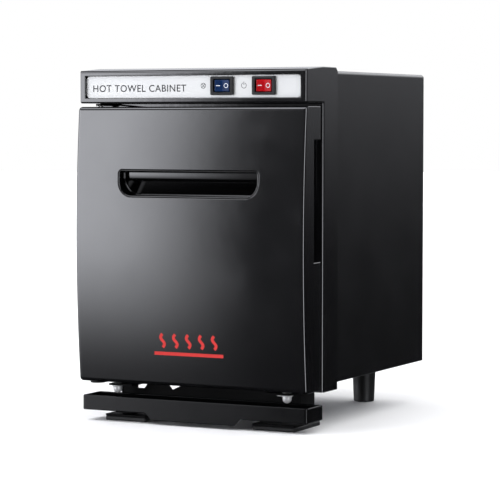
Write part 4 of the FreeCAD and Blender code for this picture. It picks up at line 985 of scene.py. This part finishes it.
def drip_tray():
    low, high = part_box("drip_tray")
    wall = 1.8 * MM
    floor = low[2] + 5.6 * MM
    corner = 3 * MM
    plan = rounded_outline((low[0], high[0]), (low[1], high[1]), (corner, corner, 0.8 * MM, 0.8 * MM), 6)
    inner = rounded_outline(
        (low[0] + wall, high[0] - wall),
        (low[1] + wall, high[1] - wall),
        (corner - wall + 0.6 * MM,) * 2 + (0.6 * MM,) * 2,
        6,
    )
    bowl = prism(plan, "z", floor, high[2])
    hollow = prism(inner, "z", floor + wall, high[2] + MM)
    half = 45 * MM
    steps = 60
    lower = []
    for i in range(steps + 1):
        x = -half + 2 * half * i / steps
        lower.append((x, tray_bottom(x, low[2])))
    skirt_outline = lower + [(half, floor + wall), (-half, floor + wall)]
    skirt = prism(skirt_outline, "y", low[1], low[1] + 2.8 * MM)
    solid = combine(combine(bowl, [skirt], "UNION"), [hollow], "DIFFERENCE")
    bmesh.ops.dissolve_limit(solid, angle_limit=math.radians(0.4), verts=solid.verts, edges=solid.edges)
    thing = show("drip_tray_finished", finished(solid, "tray"), "drip_tray", replaces=["drip_tray"])
    round_edges(thing, lambda middle, along: 0.7 * MM, 4)


NUT_DOME = 3.7 * MM


def cap_nuts():
    """Bright domed nuts with a flange."""
    low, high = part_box("bracket_cap_nuts")
    across, top, bottom = high[0] - 5 * MM, high[2], low[2]
    y = (low[1] + high[1]) / 2
    parts = []
    for side in (-1, 1):
        profile = [(1 * MM, top), (4.8 * MM, top), (5 * MM, top - 0.3 * MM), (4.7 * MM, top - 1.1 * MM)]
        profile += [(4.1 * MM, top - 1.3 * MM), (NUT_DOME, top - 1.6 * MM)]
        centre_level = bottom + NUT_DOME
        for i in range(9):
            turn = math.radians(90 * i / 8)
            out = max(NUT_DOME * math.cos(turn), 0.05 * MM)
            profile.append((out, centre_level - NUT_DOME * math.sin(turn)))
        parts.append(turned(profile, (side * across, y, 0)))
    show("bracket_cap_nuts_finished", finished(merged(*parts), "nuts"), "bracket_cap_nuts",
         replaces=["bracket_cap_nuts"])


def rear_feet():
    """Tapered rubber feet with a rolled lower edge and a collar at the top."""
    low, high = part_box("rear_feet")
    reach = high[0] - 11 * MM
    y = (low[1] + high[1]) / 2
    parts = []
    for side in (-1, 1):
        profile = [(3.6 * MM, 0.4 * MM), (8 * MM, 0.0), (8.9 * MM, 0.3 * MM), (9.2 * MM, 1.1 * MM)]
        profile += [(9.25 * MM, 3 * MM), (10.6 * MM, 31.4 * MM), (10.75 * MM, 32 * MM)]
        profile += [(10.4 * MM, 32.4 * MM), (10.5 * MM, 33 * MM), (10.95 * MM, 33.4 * MM)]
        profile += [(11 * MM, 36 * MM), (10.6 * MM, 36.7 * MM), (3.6 * MM, 36.7 * MM)]
        parts.append(turned(profile, (side * reach, y, 0)))
    show("rear_feet_finished", finished(merged(*parts), "feet"), "rear_feet", replaces=["rear_feet"])


# Back and underside

SCREW_HEAD = 3 * MM
SCREW_CROWN = 1.8 * MM
SCREW_SHANK = 1.5 * MM
SCREW_LONG = 6 * MM


def cross_screw(radius, high, shank_radius, shank_long):
    """A pan-head screw with a cross recess, its head standing on Z = 0."""
    profile = [(shank_radius, -shank_long), (shank_radius, 0), (radius * 0.97, 0), (radius, high * 0.25)]
    profile += [(radius * 0.93, high * 0.62), (radius * 0.7, high * 0.9), (radius * 0.35, high)]
    head = turned(profile, (0, 0, 0), steps=32)
    reach, half = radius * 0.55, radius * 0.11
    slots = [
        block((-reach, -half, high * 0.45), (reach, half, high * 2)),
        block((-half, -reach, high * 0.45), (half, reach, high * 2)),
    ]
    return combine(head, slots, "DIFFERENCE")


def back_screws():
    low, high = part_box("back_panel_screws")
    shell_low, shell_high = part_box("outer_shell")
    seat = high[1] - SCREW_CROWN
    levels = (low[2] + SCREW_HEAD, (shell_low[2] + shell_high[2]) / 2, high[2] - SCREW_HEAD)
    places = []
    for i, x in enumerate((low[0] + SCREW_HEAD, high[0] - SCREW_HEAD)):
        for j, z in enumerate(levels):
            turn = Matrix.Rotation(math.radians(17 + 31 * i + 43 * j), 4, "Z")
            face = Matrix.Rotation(-math.pi / 2, 4, "X")
            places.append(Matrix.Translation((x, seat, z)) @ face @ turn)
    bm = copies(cross_screw(SCREW_HEAD, SCREW_CROWN, SCREW_SHANK, SCREW_LONG), places)
    show("back_panel_screws_finished", finished(bm, "screws"), "back_panel_screws",
         replaces=["back_panel_screws"])


def foot_screws():
    low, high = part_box("rear_foot_screws")
    seat = low[2] + SCREW_CROWN
    y = (low[1] + high[1]) / 2
    places = []
    for i, x in enumerate((low[0] + SCREW_HEAD, high[0] - SCREW_HEAD)):
        face = Matrix.Rotation(math.pi, 4, "X") @ Matrix.Rotation(math.radians(25 + 40 * i), 4, "Z")
        places.append(Matrix.Translation((x, y, seat)) @ face)
    bm = copies(cross_screw(SCREW_HEAD, SCREW_CROWN, SCREW_SHANK, high[2] - seat), places)
    show("rear_foot_screws_finished", finished(bm, "screws"), "rear_foot_screws",
         replaces=["rear_foot_screws"])


VENT_HALF = 30 * MM
VENT_LOW = 190 * MM
VENT_HIGH = 4 * MM
VENT_PITCH = 9 * MM
VENT_ROWS = 6
HOOD_REACH = 2.1 * MM
HOOD_SHEET = 0.7 * MM


def vent_hoods():
    """A pressed hood over each vent slot, open below, fading out at both ends."""
    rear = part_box("back_panel")[1][1]
    steps = 28
    parts = []
    for row in range(VENT_ROWS):
        top = VENT_LOW + VENT_PITCH * row + VENT_HIGH
        rings = []
        for i in range(steps + 1):
            share = -1 + 2 * i / steps
            reach = 0.25 * MM + HOOD_REACH * math.sqrt(max(1 - abs(share) ** 5, 0))
            x = share * (VENT_HALF + 1.2 * MM)
            outer = [(-0.4, 1.6), (0.25, 1.45), (0.7, 0.95), (0.95, 0.1), (1.0, -1.3)]
            section = [(rear + out * reach, top + rise * MM) for out, rise in outer]
            section += [(y - HOOD_SHEET, z - (0.5 * MM if z > top else 0)) for y, z in reversed(section[1:])]
            rings.append([(x, y, z) for y, z in section])
        parts.append(lofted(rings))
    show("back_panel_vent_hoods", finished(merged(*parts), "hoods"), "back_panel")


def gland():
    """Strain relief bush: a coned flange and a ribbed tail, bored for the lead."""
    low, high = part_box("cord_gland")
    x, z = (low[0] + high[0]) / 2, (low[2] + high[2]) / 2
    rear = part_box("back_panel")[1][1]
    start = low[1]
    profile = [(3.6, start), (6.6, start), (7.2, start + 0.6 * MM), (7.2, start + 3.8 * MM)]
    profile += [(6, start + 4 * MM), (6, rear), (8.3, rear), (8.5, rear + 0.4 * MM)]
    profile += [(8.1, rear + 1.8 * MM), (7.4, rear + 2.4 * MM), (6.2, rear + 2.6 * MM)]
    for i in range(3):
        level = rear + (3.0 + 1.25 * i) * MM
        radius = 6.0 - 0.22 * i
        profile += [(radius, level), (radius, level + 0.6 * MM)]
        profile += [(radius - 0.6, level + 0.75 * MM), (radius - 0.6, level + 1.1 * MM)]
    profile += [(5.2, high[1] - 0.3 * MM), (4.9, high[1]), (3.9, high[1]), (3.6, high[1] - 0.4 * MM)]
    bm = bored([(radius * MM, level) for radius, level in profile], (x, 0, z), "y", 56)
    show("cord_gland_finished", finished(bm, "gland"), "cord_gland", replaces=["cord_gland"])


# Inside of the door, and the lamp

def door_gasket():
    """Bulb seal on a flat foot, carried round the opening."""
    low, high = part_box("door_gasket")
    half = (high[0] - low[0]) / 2
    across = 2.5 * MM
    bulb = [(-2.5, 0), (2.5, 0), (2.5, 1.0), (1.1, 1.3), (1.7, 2.0), (2.1, 2.8), (2.1, 3.5), (1.6, 4.4)]
    bulb += [(0.7, 5.0), (-0.7, 5.0), (-1.6, 4.4), (-2.1, 3.5), (-2.1, 2.8), (-1.7, 2.0), (-1.1, 1.3)]
    bulb += [(-2.5, 1.0)]
    section = [(out * MM, deep * MM) for out, deep in bulb]
    u = (-half + across, half - across)
    v = (low[2] + across, high[2] - across)
    bm = swept(u, v, 6 * MM, section, low[1])
    show("door_gasket_finished", finished(bm, "gasket"), "door_gasket", replaces=["door_gasket"])


def panel_beads():
    """Two pressed beads on the door's inner panel."""
    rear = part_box("door_inner_panel")[1][1]
    section = [(-2.6, -0.3), (2.6, -0.3), (2.4, 0.05), (1.7, 0.6)]
    section += [(0.8, 0.95), (-0.8, 0.95), (-1.7, 0.6), (-2.4, 0.05)]
    section = [(out * MM, deep * MM) for out, deep in section]
    outer = swept((-74 * MM, 74 * MM), (58 * MM, 242 * MM), 12 * MM, section, rear)
    inner = swept((-56 * MM, 56 * MM), (76 * MM, 224 * MM), 8 * MM, section, rear)
    show("door_panel_beads", finished(merged(outer, inner), "beads"), "door_inner_panel")


def lamp():
    """Glass tube with metal end caps, and a wound electrode inside each end."""
    low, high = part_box("uv_lamp")
    y, z = (low[1] + high[1]) / 2, (low[2] + high[2]) / 2
    half, cap, radius = 62 * MM, 6 * MM, 7.75 * MM
    tube = [(radius, -half), (radius, half), (radius - 0.8 * MM, half), (radius - 0.8 * MM, -half)]
    glass_mesh = finished(bored(tube, (0, y, z), "x", 56), "tube")
    show("uv_lamp_tube", glass_mesh, "uv_lamp", replaces=["uv_lamp"])
    caps, coils = [], []
    for side in (-1, 1):
        profile = [(0.1 * MM, half - 2 * MM), (radius - 1 * MM, half - 2 * MM), (radius - 0.9 * MM, half)]
        profile += [(radius + 0.1 * MM, half), (radius + 0.3 * MM, half + 0.4 * MM)]
        profile += [(radius + 0.3 * MM, half + cap - 0.8 * MM), (radius - 0.5 * MM, half + cap)]
        profile += [(0.1 * MM, half + cap)]
        caps.append(turned([(r, side * level) for r, level in profile], (0, y, z), "x", 56))
        inner_end = half - 14 * MM
        points = [(1.3 * MM, side * (inner_end + i * 0.5 * MM)) for i in range(9)]
        wound = [(r + (0.35 * MM if i % 2 else 0), level) for i, (r, level) in enumerate(points)]
        coils.append(turned(wound, (0, y, z), "x", 24))
        post = [(0.5 * MM, side * inner_end), (0.5 * MM, side * (half - MM))]
        coils.append(turned(post, (0, y, z), "x", 16))
    show("uv_lamp_caps", finished(merged(*caps), "caps"), "uv_lamp", slot="zinc_steel")
    show("uv_lamp_electrodes", finished(merged(*coils), "electrodes"), "uv_lamp", slot="zinc_steel")


SPECIAL = (
    "door_outer_shell", "door_handle_cup", "uv_rocker", "power_rocker", "uv_switch_housing",
    "power_switch_housing", "drip_tray", "bracket_cap_nuts", "rear_feet", "back_panel_screws",
    "rear_foot_screws", "cord_gland", "door_gasket", "uv_lamp",
)


def frame_edge(middle, along):
    """The header's edges are rounder than those of the frame behind the door."""
    return 0.5 * MM if middle.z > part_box("door_outer_shell")[1][2] else 0.06 * MM


EDGE_WIDTHS = {
    "front_frame": frame_edge, "control_plate": 0.2 * MM, "foot_pads": 0.9 * MM, "outer_shell": 0.25 * MM,
}


add_camera()
add_sky()
add_floor()
add_sun()
area_light("right_rear", (0.67, 1.39, 1.0), (0.1, 0.0, 0.25), (1.6, 0.7), 4)
scene.view_settings.view_transform = "Standard"

door_shell()
handle_cup()
plate_lettering()
plate_symbols()
steam_sign()
switches()
drip_tray()
cap_nuts()
rear_feet()
back_screws()
foot_screws()
vent_hoods()
gland()
door_gasket()
panel_beads()
lamp()
for node in frame["nodes"]:
    if node not in SPECIAL:
        refined(node, EDGE_WIDTHS.get(node, 0.3 * MM))
